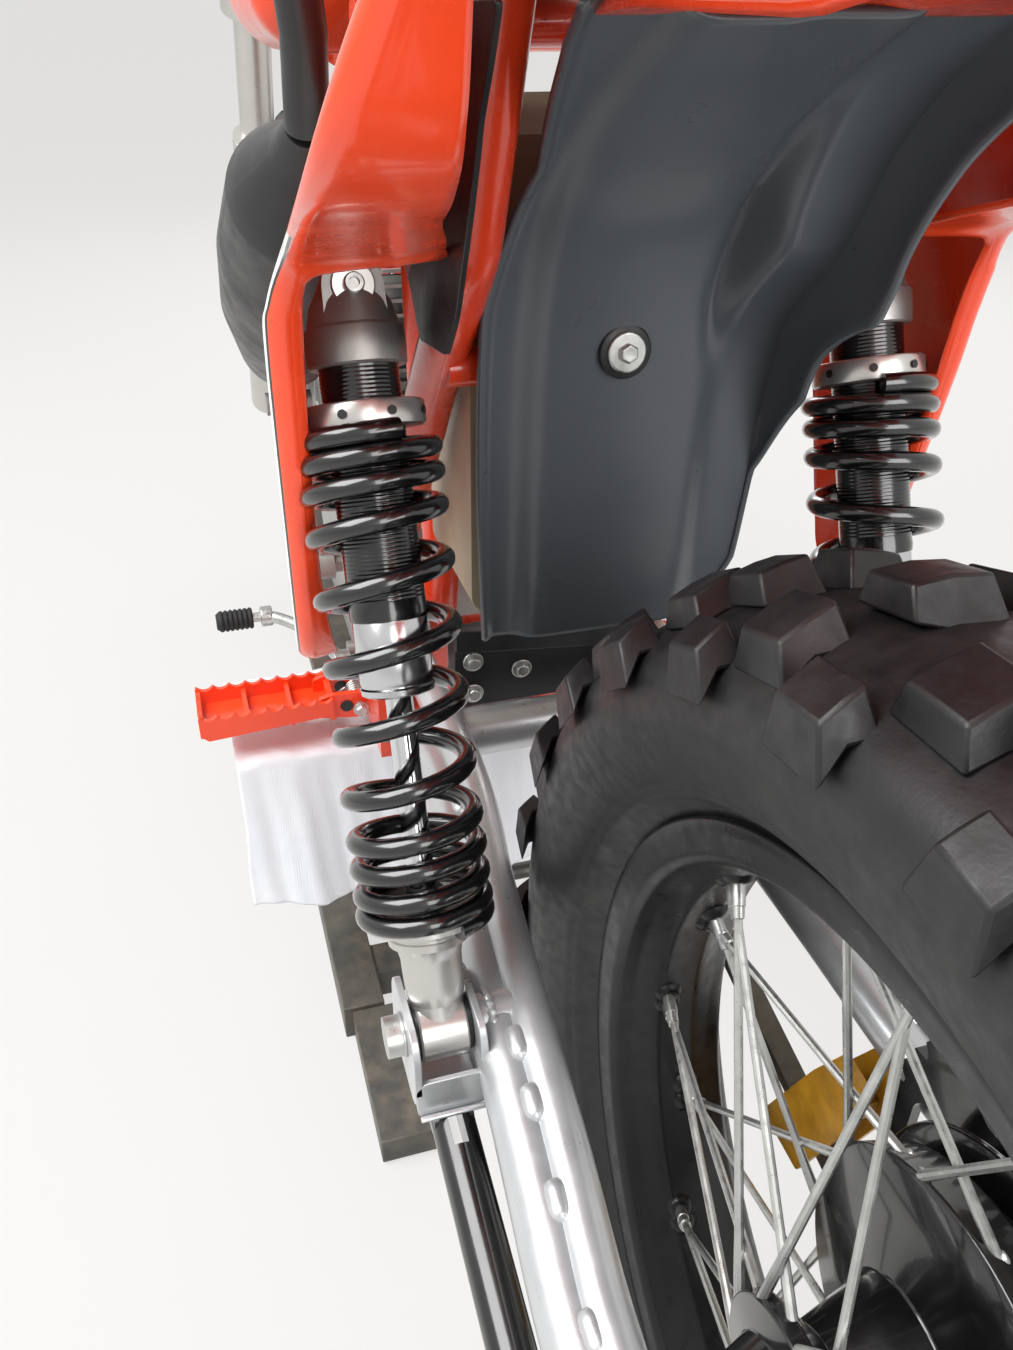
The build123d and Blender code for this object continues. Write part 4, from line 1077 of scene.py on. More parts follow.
@dataclass
class Shock:
    """Coil-over damper that stands on its lower eye and leans forward.

    Its profiles are (s, radius) points, with s measured along it from the lower eye.
    """

    eye: Point
    lean: float = math.radians(23.2)
    length: float = 405.0
    coil_mean: float = 31.5
    wire: float = 10.6
    # Height of the coil at each full turn
    heights: tuple = (63.5, 70.5, 83.5, 99, 113.5, 141, 176, 211, 245, 274, 291, 303.5, 314)
    start: float = math.radians(200)
    per_turn: int = 36
    # Threads: first and last height, pitch, and radius of their roots and tips
    threads: tuple = (232, 346, 2.0, 19.4, 19.62)
    # Spanner holes round the collar; none is cut, each is a black dot of painted shade
    collar_holes: int = 8

    @property
    def way(self) -> Array:
        """Direction from the lower eye to the upper one."""
        return np.array([math.sin(self.lean), 0, math.cos(self.lean)])

    def at(self, s: float) -> Array:
        """Return the point s along the damper."""
        return np.asarray(self.eye, float) + self.way * s

    def turned(self, profile: Sequence[Point], sides: int = 48) -> Shell:
        """Return a profile of (s, radius) points turned about the damper's line."""
        return lathe(profile, self.eye, self.way, sides)

    def spring(self) -> Shell:
        """Return the spring: turn t has radius coil_mean and the height that the list gives at t,
        averaged over half a turn, so its turns close up at both ends.

        Returns:
            The coil, its ends ground flat.
        """
        count = len(self.heights)
        turn = np.linspace(0, count - 1, (count - 1) * self.per_turn + 1)
        reach = self.per_turn // 4
        height = np.pad(np.interp(turn, np.arange(count), self.heights), reach, mode="edge")
        smooth = np.convolve(height, np.ones(2 * reach + 1) / (2 * reach + 1), mode="valid")
        angle = (self.start + 2 * np.pi * turn) * math.copysign(1, self.eye[1])
        frame = frame_of(self.way)
        path = (np.asarray(self.eye, float) + smooth[:, None] * self.way
                + self.coil_mean * (np.cos(angle)[:, None] * frame[:, 0]
                                    + np.sin(angle)[:, None] * frame[:, 1]))
        return along(path, circle(16, self.wire / 2), hint=self.way)

    def thread_line(self) -> list[Point]:
        """Return profile points of the thread: one ring a pitch, flat for a third of it."""
        low, high, pitch, root, tip = self.threads
        return [point for s in np.arange(low, high, pitch)
                for point in ((s, root), (s + pitch * 0.3, tip), (s + pitch * 0.6, tip),
                              (s + pitch * 0.9, root))]

    @staticmethod
    def bushes(profile: Sequence[Point], centre: Point) -> list[Part]:
        """Return the rubber bush on both faces of an eye.

        Args:
            profile: (distance from the eye's middle, radius) points.
            centre: The eye's middle.

        Returns:
            Both bushes.
        """
        return [(lathe([(end * out, radius) for out, radius in profile], centre, sides=32), TREAD)
                for end in (-1, 1)]

    def lower(self) -> list[Part]:
        """Return the foot with its spring seat, the lower eye and its bushes.

        Returns:
            The parts.
        """
        foot = self.turned([(14, 0), (14, 13.5), (20, 15.4), (26, 16), (42, 16.4), (47, 17.6),
                            (50, 19.4), (51, 21.6), (55, 21.8), (55.6, 20.8), (56.6, 20.8), (57.2, 21.8),
                            (60, 22), (62.5, 32), (63.5, 34), (67, 34), (67.6, 32.6), (68.6, 32.6),
                            (69.2, 34), (71, 34), (72, 32.6), (72, 25), (70, 22), (70, 0)])
        eye = lathe([(-13, 10), (-13, 16), (-12, 17), (12, 17), (13, 16), (13, 10)], self.eye, sides=40)
        neck = tube([self.at(6), self.at(18)], 29)
        bush = ((12.6, 9), (12.6, 15.5), (15.4, 14.6), (16.8, 12.5), (16.8, 9))
        return [(shell, TURNED_ALLOY) for shell in (foot, eye, neck)] + self.bushes(bush, self.eye)

    def body(self) -> list[Part]:
        """Return the rod, its bump stop, the sleeve, the threaded body, and the collar with black dots
        of painted shade, one in each spanner hole.

        Returns:
            The parts.
        """
        rod = self.turned([(68, 0), (68, 7.25), (200, 7.25)])
        stop = self.turned([(70, 7.3), (70, 11), (78, 11), (80, 9), (80, 7.3)])
        sleeve = self.turned([(184, 7.4), (184, 17), (185, 18.8), (188, 19.2), (189, 18.4), (190, 18.4),
                              (191, 19), (222, 19), (223, 18.4)])
        threaded = self.turned([(222, 18), (222.6, 19.6), (226, 20), *self.thread_line(), (347, 19)])
        collar = self.turned([(315.5, 20), (315.5, 28.4), (316.4, 29.6), (318, 30), (326.5, 30),
                              (327.6, 29.4), (328, 28.4), (328, 20)], 64)
        # Each spanner hole is a small black dot on the collar: painted shade for the hole's dark inside
        angles = 2 * np.pi * np.arange(self.collar_holes) / self.collar_holes + 0.3
        painted_hole_shade = joined([lathe([(29.8, 0), (30.8, 2.3), (30.85, 2.3), (30.9, 0)], self.at(322),
                              frame_of(self.way) @ (math.cos(a), math.sin(a), 0), 12) for a in angles])
        return [(rod, HARD_CHROME), (stop, TRIM_BLACK), (sleeve, SLEEVE), (threaded, BLACK_ENAMEL),
                (collar, TURNED_ALLOY), (painted_hole_shade, TRIM_BLACK)]

    def upper(self) -> list[Part]:
        """Return the cast cap with its charging port, and the upper eye with its bushes.

        Returns:
            The parts.
        """
        rear = np.array([-math.cos(self.lean), 0, math.sin(self.lean)])
        cap = self.turned([(345, 18), (345, 23), (346, 24.2), (352, 24.6), (362, 24.6), (363, 24),
                           (364, 22.6), (374, 20), (381, 16), (388, 13), (388, 0)])
        port = self.at(381) + rear * 2
        outline = eased([(-15.5, -26), (-14.5, 4), (-9.5, 13.5), (9.5, 13.5), (14.5, 4), (15.5, -26)],
                        5.5, 6, True)
        face = port + outline[:, :1] * (0, 1, 0) + outline[:, 1:] * self.way
        lug = net(np.stack([face, face + rear * 13]), wrap_v=True, capped=True)
        washer = lathe([(13, 0), (13, 10), (14.4, 10.4), (15, 9.8), (15, 0)], port, rear, 40)
        screw = lathe([(15, 4.9), (18.5, 4.9), (19.4, 4.2), (19.4, 2.5), (17, 2.3), (17, 0)], port,
                      rear, 24)
        top = self.at(self.length)
        eye = lathe([(-13, 9), (-13, 15.6), (-12, 17), (12, 17), (13, 15.6), (13, 9)], top, sides=40)
        neck = tube([self.at(384), self.at(398)], 27)
        bush = ((12.6, 8), (12.6, 14), (15.4, 13), (15.4, 8))
        return [(cap, CAST_ALLOY), (lug, CAST_ALLOY), (washer, TURNED_ALLOY), (screw, ZINC),
                (eye, CAST_ALLOY), (neck, CAST_ALLOY), *self.bushes(bush, top)]

    def build(self, bench: Bench, word: str) -> None:
        """Make one damper, its spring and its lower bolt's head.

        Args:
            bench: Where they are made.
            word: "left" or "right".
        """
        side = SIDES[word]
        bench.add("shock_" + word + "_damper", self.lower() + self.body() + self.upper(),
                  replaces=("shock_" + word,))
        bench.add("spring_" + word + "_coil", [(self.spring(), SPRING_BLACK)],
                  replaces=("spring_" + word,))
        face = np.asarray(self.eye, float) + (0, side * 20, 0)
        head = hexagon(face, (0, side, 0), 19, 8, 24)
        bench.add(f"shock_bolt_head_{word}_lower", [(head, ZINC)], bevel=0.4)


@dataclass
class Swingarm:
    """One leg of the swingarm: two tubes side by side, stitched together, and an axle plate."""

    side: float
    inner: tuple = ((575, 80, 50), (400, 75, 37), (300, 85, 28), (215, 92, 19), (130, 98, 9),
                    (60, 105, 3), (-5, 108, 0))
    outer: tuple = ((440, 92, 24), (400, 91, 25), (300, 101, 19), (215, 108, 11), (130, 114, 2),
                    (60, 119, -5), (10, 119, -8))
    inner_d: float = 26
    outer_d: float = 32
    # X of each weld that stitches the tubes together, and half a weld's length
    stitches: tuple = (188, 154, 104, 46, 330, 370)
    stitch_half: float = 11
    # X and Z of the clevis stub and of the pivot tube
    stub: Point = (215, 17)
    pivot: Point = (575, 50)

    def path(self, points: Sequence[Point]) -> Array:
        """Return a smooth line through points, on this leg's side."""
        return flowing(points, 10) * (1, self.side, 1)

    def stitch(self, x: float) -> Shell:
        """Return one weld between the tubes: it follows the outer tube, and at share t of its half
        length its width is 13*sqrt(1 - t^4).

        Args:
            x: X of its middle.

        Returns:
            The weld.
        """
        run = self.path(self.outer)
        reach = np.linspace(-1, 1, 15)
        at = x - self.stitch_half * reach
        bead = np.stack([at, *(np.interp(-at, -run[:, 0], run[:, i]) for i in (1, 2))], -1)
        swell = np.sqrt(np.clip(1 - reach**4, 0.01, 1))
        return tube(bead + (0, -self.side * 5.5, 13.4), 13 * swell, sides=16)

    def build(self, bench: Bench, word: str) -> None:
        """Make the leg in place of its node.

        Args:
            bench: Where it is made.
            word: "left" or "right".
        """
        s = self.side
        (stub_x, stub_z), (pivot_x, pivot_z) = self.stub, self.pivot
        plate = [(16, -25), (34, -20), (34, 15), (16, 21), (-24, 21), (-46, 12), (-46, -15), (-24, -25)]
        silver = [tube(self.path(self.inner), self.inner_d, sides=40),
                  tube(self.path(self.outer), self.outer_d, sides=40),
                  *(self.stitch(x) for x in self.stitches),
                  prism(eased(plate, 9, 5, True), s * 102.5, s * 117),
                  lathe([(-18, 0), (-18, 23), (18, 23), (18, 0)], (pivot_x, 84 * s, pivot_z)),
                  weld_ring((pivot_x, 65 * s, pivot_z), (0, 1, 0), 22, 5),
                  tube([(stub_x, y, stub_z) for y in sorted((s * 92, s * 122))], 25, sides=32,
                       hint=(0, 0, 1)),
                  weld_ring((stub_x, s * 113, stub_z), (0, 1, 0), 13, 5.5), *self.clevis()]
        cap = lathe([(s * 117, 0), (s * 117, 25), (s * 119, 25), (s * 120, 24), (s * 120, 0)])
        parts = [*((shell, TUBE_SILVER) for shell in silver), (cap, ZINC)]
        bench.add("swingarm_" + word + "_leg", parts, replaces=("swingarm_" + word,), bevel=0.7)

    @staticmethod
    def cross(bench: Bench) -> None:
        """Make the tube between the legs, welded round both ends."""
        shells = [tube([(462, -79, 26), (462, 79, 26)], 36, sides=40, hint=(0, 0, 1)),
                  *(weld_ring((462, 66 * s, 27), (0, 1, 0), 18.5, 6) for s in (-1, 1))]
        bench.add("swingarm_cross_tube", [(shell, TUBE_SILVER) for shell in shells],
                  replaces=("swingarm_cross",), bevel=0.5)

    def clevis(self) -> list[Shell]:
        """Return the folded plate that holds the damper's eye.

        Returns:
            Two cheeks, the back plate with its rolled lip, and a floor that rises towards its sides
            as 5*|t|^6.
        """
        s = self.side
        outline = eased([(194, 36), (188, 24), (188, -8), (194, -14), (240, -14), (246, -8), (246, 24),
                         (240, 36)], 6, 5, True)
        cheeks = [prism(outline, s * low, s * high) for low, high in ((120, 124), (156, 160))]
        rear = eased([(121, -17), (124, -19), (156, -19), (159, -17), (160, 2), (154, 7), (126, 7),
                      (120, 2)], 2.5, 4, True)
        back = slab(rear * (s, 1), 188, 191)
        lip = tube([(186, s * 122, -18.5), (186, s * 158, -18.5)], 3.4, sides=10, hint=(0, 0, 1))
        across = np.linspace(-1, 1, 13)
        floor = np.stack([np.zeros(13), s * (140 + 19 * across), -14 + 5 * np.abs(across) ** 6], -1)
        rows = np.stack([floor + (x, 0, 0) for x in (189, 245)])
        under = (rows - (0, 0, 3.6))[::-1]
        return [*cheeks, back, lip, net(np.concatenate([rows, under]), wrap_u=True)]


@dataclass
class RearGuard:
    """Moulded inner mudguard: a sheet along a line in side view, wide in the middle, whose section
    across has a raised centre, two channels and turned lips, with a dished bulge at the top right.
    """

    spine: tuple = ((364, 166), (361, 200), (360, 255), (358, 312), (350, 358), (331, 400),
                    (303, 431), (262, 460), (225, 480), (200, 492))
    # At each point of the spine: Y of both edges, and the height of the right edge's turned wall
    left: tuple = (75, 77, 79, 79, 79, 72, 67, 76, 84, 88)
    right: tuple = (-58, -80, -85, -87, -87, -87, -89, -92, -94, -95)
    wall: tuple = (3, 3, 3, 38, 41, 45, 46, 38, 31, 28)
    rows: int = 90
    columns: int = 72
    # Share of the columns that lie across the sheet; the rest climb the wall
    across: float = 0.9
    # Centre panel: how far it stands out, its edges' Y below and above, and how soft they are
    panel_out: float = 8.0
    panel_y: tuple = (-48, 52)
    panel_soft: float = 13.0
    lip_out: float = 5.0
    lip_width: float = 4.0
    # Y of the dish's edge at each share of the spine
    dish_t: tuple = (0, 0.5, 0.6, 0.68, 0.76, 0.86, 1)
    dish_y: tuple = (-130, -120, -66, -46, -18, 2, 11)
    # Bulge over the right frame tube: height, place and reach along the spine, first Y and run-in
    bulge_out: float = 31.0
    bulge_t: tuple = (0.585, 0.15)
    bulge_y: tuple = (-40, 16)
    bolt: Point = (346.5, 4, 334)

    def pushed(self, t: Array, y: Array, left: Array) -> Array:
        """Return how far each point stands out towards the wheel.

        The centre panel is a plateau that rises and falls as 1/(1 + exp(-4*d/soft)); the lip is
        lip_out*exp(-((y - left)/lip_width)^2); the dish lies 2 mm back past its edge; and the bulge
        is bulge_out*exp(-((t - place)/reach)^2) times the smooth step 3b^2 - 2b^3 across.

        Args:
            t: (rows, 1) shares of the spine.
            y: (rows, columns) places across.
            left: (rows, 1) Y of the left edge.

        Returns:
            (rows, columns) distances.
        """
        knots = np.linspace(0, 1, len(self.spine))
        narrow = 8 * np.interp(t, knots, [0, 0, 0, 0, 1, 1, 1, 1, 1, 1])
        panel = self.plateau(y, self.panel_y[0] + narrow, self.panel_y[1], self.panel_soft)
        lip = np.exp(-((y - left) / self.lip_width) ** 2)
        inside = 1 / (1 + np.exp(np.clip((y - np.interp(t, self.dish_t, self.dish_y)) / 2.6, -30, 30)))
        dish = 2 * inside * np.interp(t, [0.5, 0.62], [0, 1])
        place, reach = self.bulge_t
        first, run_in = self.bulge_y
        beside = np.clip((first - y) / run_in, 0, 1)
        bulge = np.exp(-((t - place) / reach) ** 2) * beside**2 * (3 - 2 * beside)
        return self.panel_out * panel + self.lip_out * lip - dish + self.bulge_out * bulge

    def grid(self) -> Array:
        """Return the sheet's points: at t along the spine and y across, the spine's point moved
        along its normal by pushed, and by the wall's height past the right edge.

        Returns:
            (rows, columns, 3) points.
        """
        knots = np.linspace(0, 1, len(self.spine))
        t = np.linspace(0, 1, self.rows)
        line = flowing(self.spine, 12)
        run = np.linspace(0, 1, len(line))
        spine = np.stack([np.interp(t, run, line[:, i]) for i in (0, 1)], -1)
        tangent = unit(np.gradient(spine, axis=0))
        normal = np.stack([-tangent[:, 1], tangent[:, 0]], -1)
        left, right, wall = (np.interp(t, knots, v)[:, None] for v in (self.left, self.right, self.wall))
        u = np.linspace(0, 1, self.columns)[None, :]
        y = left + (right - left) * np.clip(u / self.across, 0, 1)
        climb = np.clip((u - self.across) / (1 - self.across), 0, 1)
        out = self.pushed(t[:, None], y, left) + wall * climb
        y = y - 3.0 * np.sin(np.pi * climb) * (wall > 8)
        return np.stack([spine[:, :1] + normal[:, :1] * out, y, spine[:, 1:] + normal[:, 1:] * out], -1)

    @staticmethod
    def plateau(y: Array, low: Array, high: float, soft: float) -> Array:
        """Return 1 between low and high, falling smoothly to 0 over soft on each side."""
        return 1 / (1 + np.exp(-(y - low) / soft * 4)) / (1 + np.exp((y - high) / soft * 4))

    def build(self, bench: Bench) -> None:
        """Make the guard in place of its node, and its bolt.

        Args:
            bench: Where pieces are made.
        """
        bench.add("inner_mudguard_shell", [(net(self.grid()), GUARD_GREY)], replaces=("inner_mudguard",),
                  smooth=60, thick=3.2)
        centre, way = np.array(self.bolt), unit((-1, 0, 0.05))
        washer = lathe([(0, 0), (0, 13.5), (1.2, 14.2), (3.6, 14), (4.4, 12.5), (4.4, 0)], centre,
                       way, 48)
        cap = lathe([(4.4, 0), (4.4, 10.2), (5.4, 10.6), (6.4, 9.8), (6.6, 0)], centre, way, 48)
        head = hexagon(centre + way * 6.4, way, 9, 3.4)
        bench.add("guard_bolt", [(washer, TREAD), (cap, ZINC), (head, ZINC)], bevel=0.4)


@dataclass
class SidePanel:
    """Moulded number panel: an outer face that turns in over a round edge into a return flange.

    Point k of edge is a place on its rear and lower edge in side view, and front the point that
    faces it.
    """

    side: float
    edge: tuple = ((120, 500), (140, 462), (172, 440), (215, 424), (262, 408), (292, 396), (307, 378),
                   (315, 350), (320, 318), (328, 276), (338, 230), (348, 192), (362, 170), (384, 160),
                   (402, 163))
    front: tuple = ((470, 500), (471, 482), (471, 462), (471, 440), (471, 418), (471, 396), (470, 372),
                    (466, 350), (458, 324), (446, 290), (436, 256), (426, 218), (418, 190), (414, 176),
                    (410, 168))
    corner: float = 9.0
    # Height of each place on the edge, in step with edge, and how far out the flange ends there
    inner: tuple = ((0, 143), (1, 140), (2, 135), (3, 129), (4, 116), (4.93, 108.5), (5.06, 110),
                    (5.14, 114), (5.2, 130), (5.27, 153), (5.36, 163), (5.6, 168), (6, 169.5), (7, 170),
                    (8, 170.5), (9, 170.5), (10, 169), (11, 165), (12, 160), (13, 161), (14, 168))
    # How far out the face lies at each height of its lean
    lean: tuple = ((300, 185), (405, 185), (425, 182.5), (449, 173), (475, 160), (504, 145), (540, 128),
                   (575, 115), (660, 108))
    # Steps between two points of edge, and across the face, the round edge and the flange
    span: int = 12
    steps: tuple = (16, 9, 10)
    # Row and column where the white plate starts, and how far it reaches past the face
    plate: tuple = (40, 0, 3)

    def outside(self, place: Array) -> Array:
        """Return how far out the face lies: upright below, and leaning in towards the seat above.

        The lean depends on z + 0.45*(x - 200), so it starts lower towards the front, and less so
        past the shock's upper end. Forward of x = 310 the face bows inboard.

        Args:
            place: (N, 2) points in side view.

        Returns:
            (N,) distances from the middle plane.
        """
        x, z = place.T
        rise = z + 0.45 * (np.minimum(x, 300) - 200) + 0.3 * np.maximum(x - 300, 0)
        knots = flowing(self.lean, 8)
        ahead = np.maximum(x - 310, 0)
        return np.interp(rise, knots[:, 0], knots[:, 1]) - 0.05 * ahead - 0.00045 * ahead**2

    def grid(self) -> Array:
        """Return the sheet's points.

        Across, the face runs from the front point to one corner radius short of the edge, then a
        quarter circle, then the flange straight inboard, easing a little forward.

        Returns:
            (rows, columns, 3) points.
        """
        edge, front = flowing(self.edge, self.span), flowing(self.front, self.span)
        knots = np.array(self.inner)
        inner = np.interp(np.arange(len(edge)) / self.span, knots[:, 0], knots[:, 1])
        across = unit(front - edge)
        reach = np.linalg.norm(front - edge, axis=1, keepdims=True)
        radius = np.minimum(self.corner, 0.4 * reach)
        face_steps, round_steps, flange_steps = self.steps
        columns: list[Array] = []
        for v in np.linspace(0, 1, face_steps):
            flat = front + (edge + across * radius - front) * v
            columns.append(np.insert(flat, 1, self.outside(flat), axis=1))
        for angle in np.linspace(0, math.pi / 2, round_steps)[1:]:
            flat = edge + across * (radius * (1 - math.sin(angle)))
            out = self.outside(flat) - radius[:, 0] * (1 - math.cos(angle))
            columns.append(np.insert(flat, 1, out, axis=1))
        base = columns[-1]
        drop = np.maximum(base[:, 1] - inner, 1)
        for v in np.linspace(0, 1, flange_steps)[1:]:
            flat = base[:, ::2] + across * (2.5 * v * v + 0.5)
            columns.append(np.insert(flat, 1, base[:, 1] - drop * v, axis=1))
        return np.stack(columns, 1) * (1, self.side, 1)

    def build(self, bench: Bench, word: str) -> None:
        """Make the panel in place of its node.

        Args:
            bench: Where it is made.
            word: "left" or "right".
        """
        grid = self.grid()
        whole = net(grid)
        row, column = np.divmod(np.arange(len(whole.quads)), grid.shape[1] - 1)
        first_row, first_column, past = self.plate
        last_column = self.steps[0] - 1 + past
        plate = (row > first_row) & (column > first_column) & (column < last_column)
        seam = plate & (column == last_column - 1)
        marks = ((plate & ~seam, PANEL_WHITE), (seam, STRIPE_BLACK), (~plate, PANEL_ORANGE))
        skin = bench.add("side_panel_" + word + "_skin",
                         [(Shell(whole.points, whole.quads[mark]), finish) for mark, finish in marks],
                         replaces=("side_panel_" + word,), smooth=50, thick=2.8)
        # The wall's inner side takes the last finish, because the white is only a plate outside
        skin.modifiers["wall"].material_offset = 2


@dataclass
class Footpeg:
    """Folding peg: two serrated rows and a toothed end on an arm, with its pin and return spring."""

    side: float
    # X of each serrated row's rear face
    rows: tuple = (594.0, 640.0)
    top: float = -14.0
    tooth: float = 13.5
    dip: float = 4.0
    # Y and Z of the pin that it folds on
    pin: Point = (117, -28)

    def box(self, x: Point, y: Point, z: Point) -> Shell:
        """Return a box between two values of X, of distance outboard, and of Z."""
        low, high = sorted(self.side * v for v in y)
        return brick((x[0], low, z[0]), (x[1], high, z[1]))

    def serrated(self, inner: float, outer: float, low: float) -> Array:
        """Return a row's outline in rear view: its top dips between teeth by
        dip*|sin(pi*(y - inner)/tooth)|^0.7.

        Args:
            inner: Distance outboard where it starts.
            outer: Distance outboard where it ends.
            low: Z of its lower edge.

        Returns:
            (N, 2) outline.
        """
        y = np.linspace(inner, outer, 120)
        crest = self.top - self.dip * np.abs(np.sin(np.pi * (y - inner) / self.tooth)) ** 0.7
        under = [(outer, low + 5), (outer - 6, low), (inner, low + 7)]
        return np.vstack([np.stack([y, crest], -1), under]) * (self.side, 1)

    def end(self) -> Shell:
        """Return the toothed end plate: three teeth with the same dips as the rows.

        Returns:
            The plate.
        """
        teeth = -16 - self.dip * np.abs(np.sin(np.linspace(0, 3 * np.pi, 40))) ** 0.7
        outline = np.vstack([np.stack([np.linspace(596, 642, 40), teeth], -1), [(640, -37), (598, -37)]])
        return prism(outline, *sorted((self.side * 245.5, self.side * 249.5)))

    def spring(self) -> Shell:
        """Return the return spring: five turns round the pin, 0.55 mm further for each radian.

        Returns:
            The wire with its two ends.
        """
        s, (y, z) = self.side, self.pin
        turn = np.linspace(0, 10 * math.pi, 240)
        coil = np.stack([612 + turn * 0.55, s * y + 7.5 * np.cos(turn), z + 7.5 * np.sin(turn)], -1)
        path = np.vstack([(606, s * 150, -35), coil, (632, s * 138, -36)])
        return along(path, circle(8, 1.1), hint=(1, 0, 0.01))

    def build(self, bench: Bench, word: str) -> None:
        """Make the peg in place of its node.

        Args:
            bench: Where it is made.
            word: "left" or "right".
        """
        s, (y, z) = self.side, self.pin
        arm = eased([(140, -15), (152, -18), (152, -36), (122, -40), (110.5, -40), (110.5, -16)], 4, 4,
                    True)
        orange = [*(slab(self.serrated(140, 249, -38), x, x + 4) for x in self.rows), self.end(),
                  *(self.box((596, 642), (rib, rib + 4), (-36, -21)) for rib in (172, 208)),
                  *(slab(arm * (s, 1), x, x + 5) for x in (600, 632)),
                  self.box((596, 642), (138, 143), (-37, -18)),
                  self.box((597, 641), (141, 247), (-33, -29.5))]
        # The arms' bores are not cut: a thin black disc on each paints the shade inside the bore
        painted_hole_shade = [lathe([(0, 0), (0, 5.5), (0.4, 5.5), (0.4, 0)], (x, s * 128, -27), (-1, 0, 0), 24)
                 for x in (599.5, 631.5)]
        zinc = [tube([(594, s * y, z), (642, s * y, z)], 8, sides=20),
                hexagon((594, s * y, z), (-1, 0, 0), 9, 4, 13), self.spring()]
        groups = ((orange, PEG_ORANGE), (painted_hole_shade, TRIM_BLACK), (zinc, ZINC))
        parts = [(shell, finish) for shells, finish in groups for shell in shells]
        bench.add("footpeg_" + word + "_serrated", parts, replaces=("footpeg_" + word,), bevel=0.6)


@dataclass
class GearLever:
    """Forged lever with a ribbed rubber tip on a short link."""

    tip: Point = (750, 206, -14)
    shaft: Point = (655, 122, -16)
    rib: float = 4.4
    ribs: int = 7

    def build(self, bench: Bench) -> None:
        """Make it in place of its node.

        Args:
            bench: Where pieces are made.
        """
        x, y, z = self.tip
        arm = tube([self.shaft, (690, 134, -14), (720, 150, -13), (742, 166, z), (x, 178, z)], 11,
                   bend=14, hint=(0, 0, 1))
        pin = tube([(x, 172, z), (x, y + 16, z)], 9, hint=(0, 0, 1))
        joint = lathe([(-6, 0), (-6, 8.5), (-5, 9.5), (4, 9.5), (5, 8.5), (5, 0)], (x, 178, z), sides=24)
        boss = lathe([(-7, 0), (-7, 10), (7, 10), (7, 0)], self.shaft, sides=32)
        ribs = [(k * self.rib + s, r) for k in range(self.ribs)
                for s, r in ((0, 8.4), (1.2, 10), (3.2, 10))]
        rubber = lathe([(0, 0), *ribs, (31.5, 8.4), (33.5, 7), (33.5, 0)], (x, y - 16, z), sides=32)
        parts = [*((shell, ZINC) for shell in (arm, pin, joint, boss)), (rubber, GRIP)]
        bench.add("gear_lever_forged", parts, replaces=("gear_lever",), bevel=0.5)


@dataclass
class Cloth:
    """Cotton rag over the stand's deck: it lies on top and hangs over the rear edge in soft folds."""

    deck_top: float = -68.6
    deck_rear: float = 600.0
    left: float = 225.0
    right: float = -116.0
    front: float = 722.0
    drop: float = 157.0
    bend: float = 7.0
    # Length of the rag round the bend
    bend_run: float = 11.0

    def grid(self) -> Array:
        """Return the sheet's points. A point s along the cloth lies on the deck up to its rear edge,
        turns down round the bend, and hangs. Folds and wrinkles are sums of height*sin(place/length
        + phase), in mm, and the folds grow downwards.

        Returns:
            (rows, columns, 3) points.
        """
        y = np.linspace(self.left, self.right, 130)[None, :]
        flat = self.front - self.deck_rear
        s = np.concatenate([np.linspace(0, flat, 34), flat + np.linspace(1, self.bend_run, 8),
                            flat + self.bend_run + np.linspace(3, self.drop, 56)])[:, None]
        turn = np.clip((s - flat) / self.bend_run, 0, 1) * math.pi / 2
        hang = (np.maximum(s - flat - self.bend_run, 0)
                * (1 + 0.035 * np.sin(y / 21) + 0.03 * np.sin(y / 47 + 1)))
        share = np.clip(hang / self.drop, 0, 1)
        folds = (3.2 * np.sin(y / 13 + 0.6 * share) + 2.4 * np.sin(y / 7.3 + 2 + 1.5 * share)
                 + 1.0 * np.sin(y / 3.1 + 4 * share) + 1.3 * np.sin(hang / 15 + y / 24))
        wrinkle = (0.9 * np.sin(s / 9 + y / 15) + 0.7 * np.sin(s / 17 - y / 8)
                   + 0.4 * np.sin(s / 5 + y / 4)) * (turn < 1.5)
        x = np.where(s < flat, self.front - s, self.deck_rear - self.bend * np.sin(turn))
        x = x - (1.5 + 0.75 * folds + 7.5 * share * (0.5 + 0.5 * np.sin(y / 29 + 2))) * share**0.5
        z = (self.deck_top + 4.5 - self.bend * (1 - np.cos(turn)) - hang
             + np.maximum(wrinkle, -1.6) * (share == 0))
        slip = y + 4 * share * np.sin(y / 33) - 2.0 * share * np.sin(hang / 26)
        return np.stack(np.broadcast_arrays(x, slip, z), -1)

    def build(self, bench: Bench) -> None:
        """Make the rag in place of its node."""
        piece = bench.add("stand_rag", [(net(self.grid()), RAG)], replaces=("stand_cloth",), smooth=80,
                          thick=1.4)


@dataclass
class StandDeck:
    """Deck of the lift stand: a pressed plate, wide at the rear and narrow ahead."""

    outline: tuple = ((600, 222), (712, 222), (712, 140), (930, 140), (930, -140), (712, -140),
                      (712, -222), (600, -222))
    levels: tuple = (-82.6, -68.6)

    def build(self, bench: Bench) -> None:
        """Make the deck in place of its node.

        Args:
            bench: Where pieces are made.
        """
        plan = eased(self.outline, 9, 4, True)
        layers = np.stack([np.insert(plan, 2, z, axis=1) for z in self.levels])
        bench.add("stand_deck_plate", [(net(layers, wrap_v=True, capped=True), STAND_GREY)],
                  replaces=("stand_deck",), bevel=1.2)


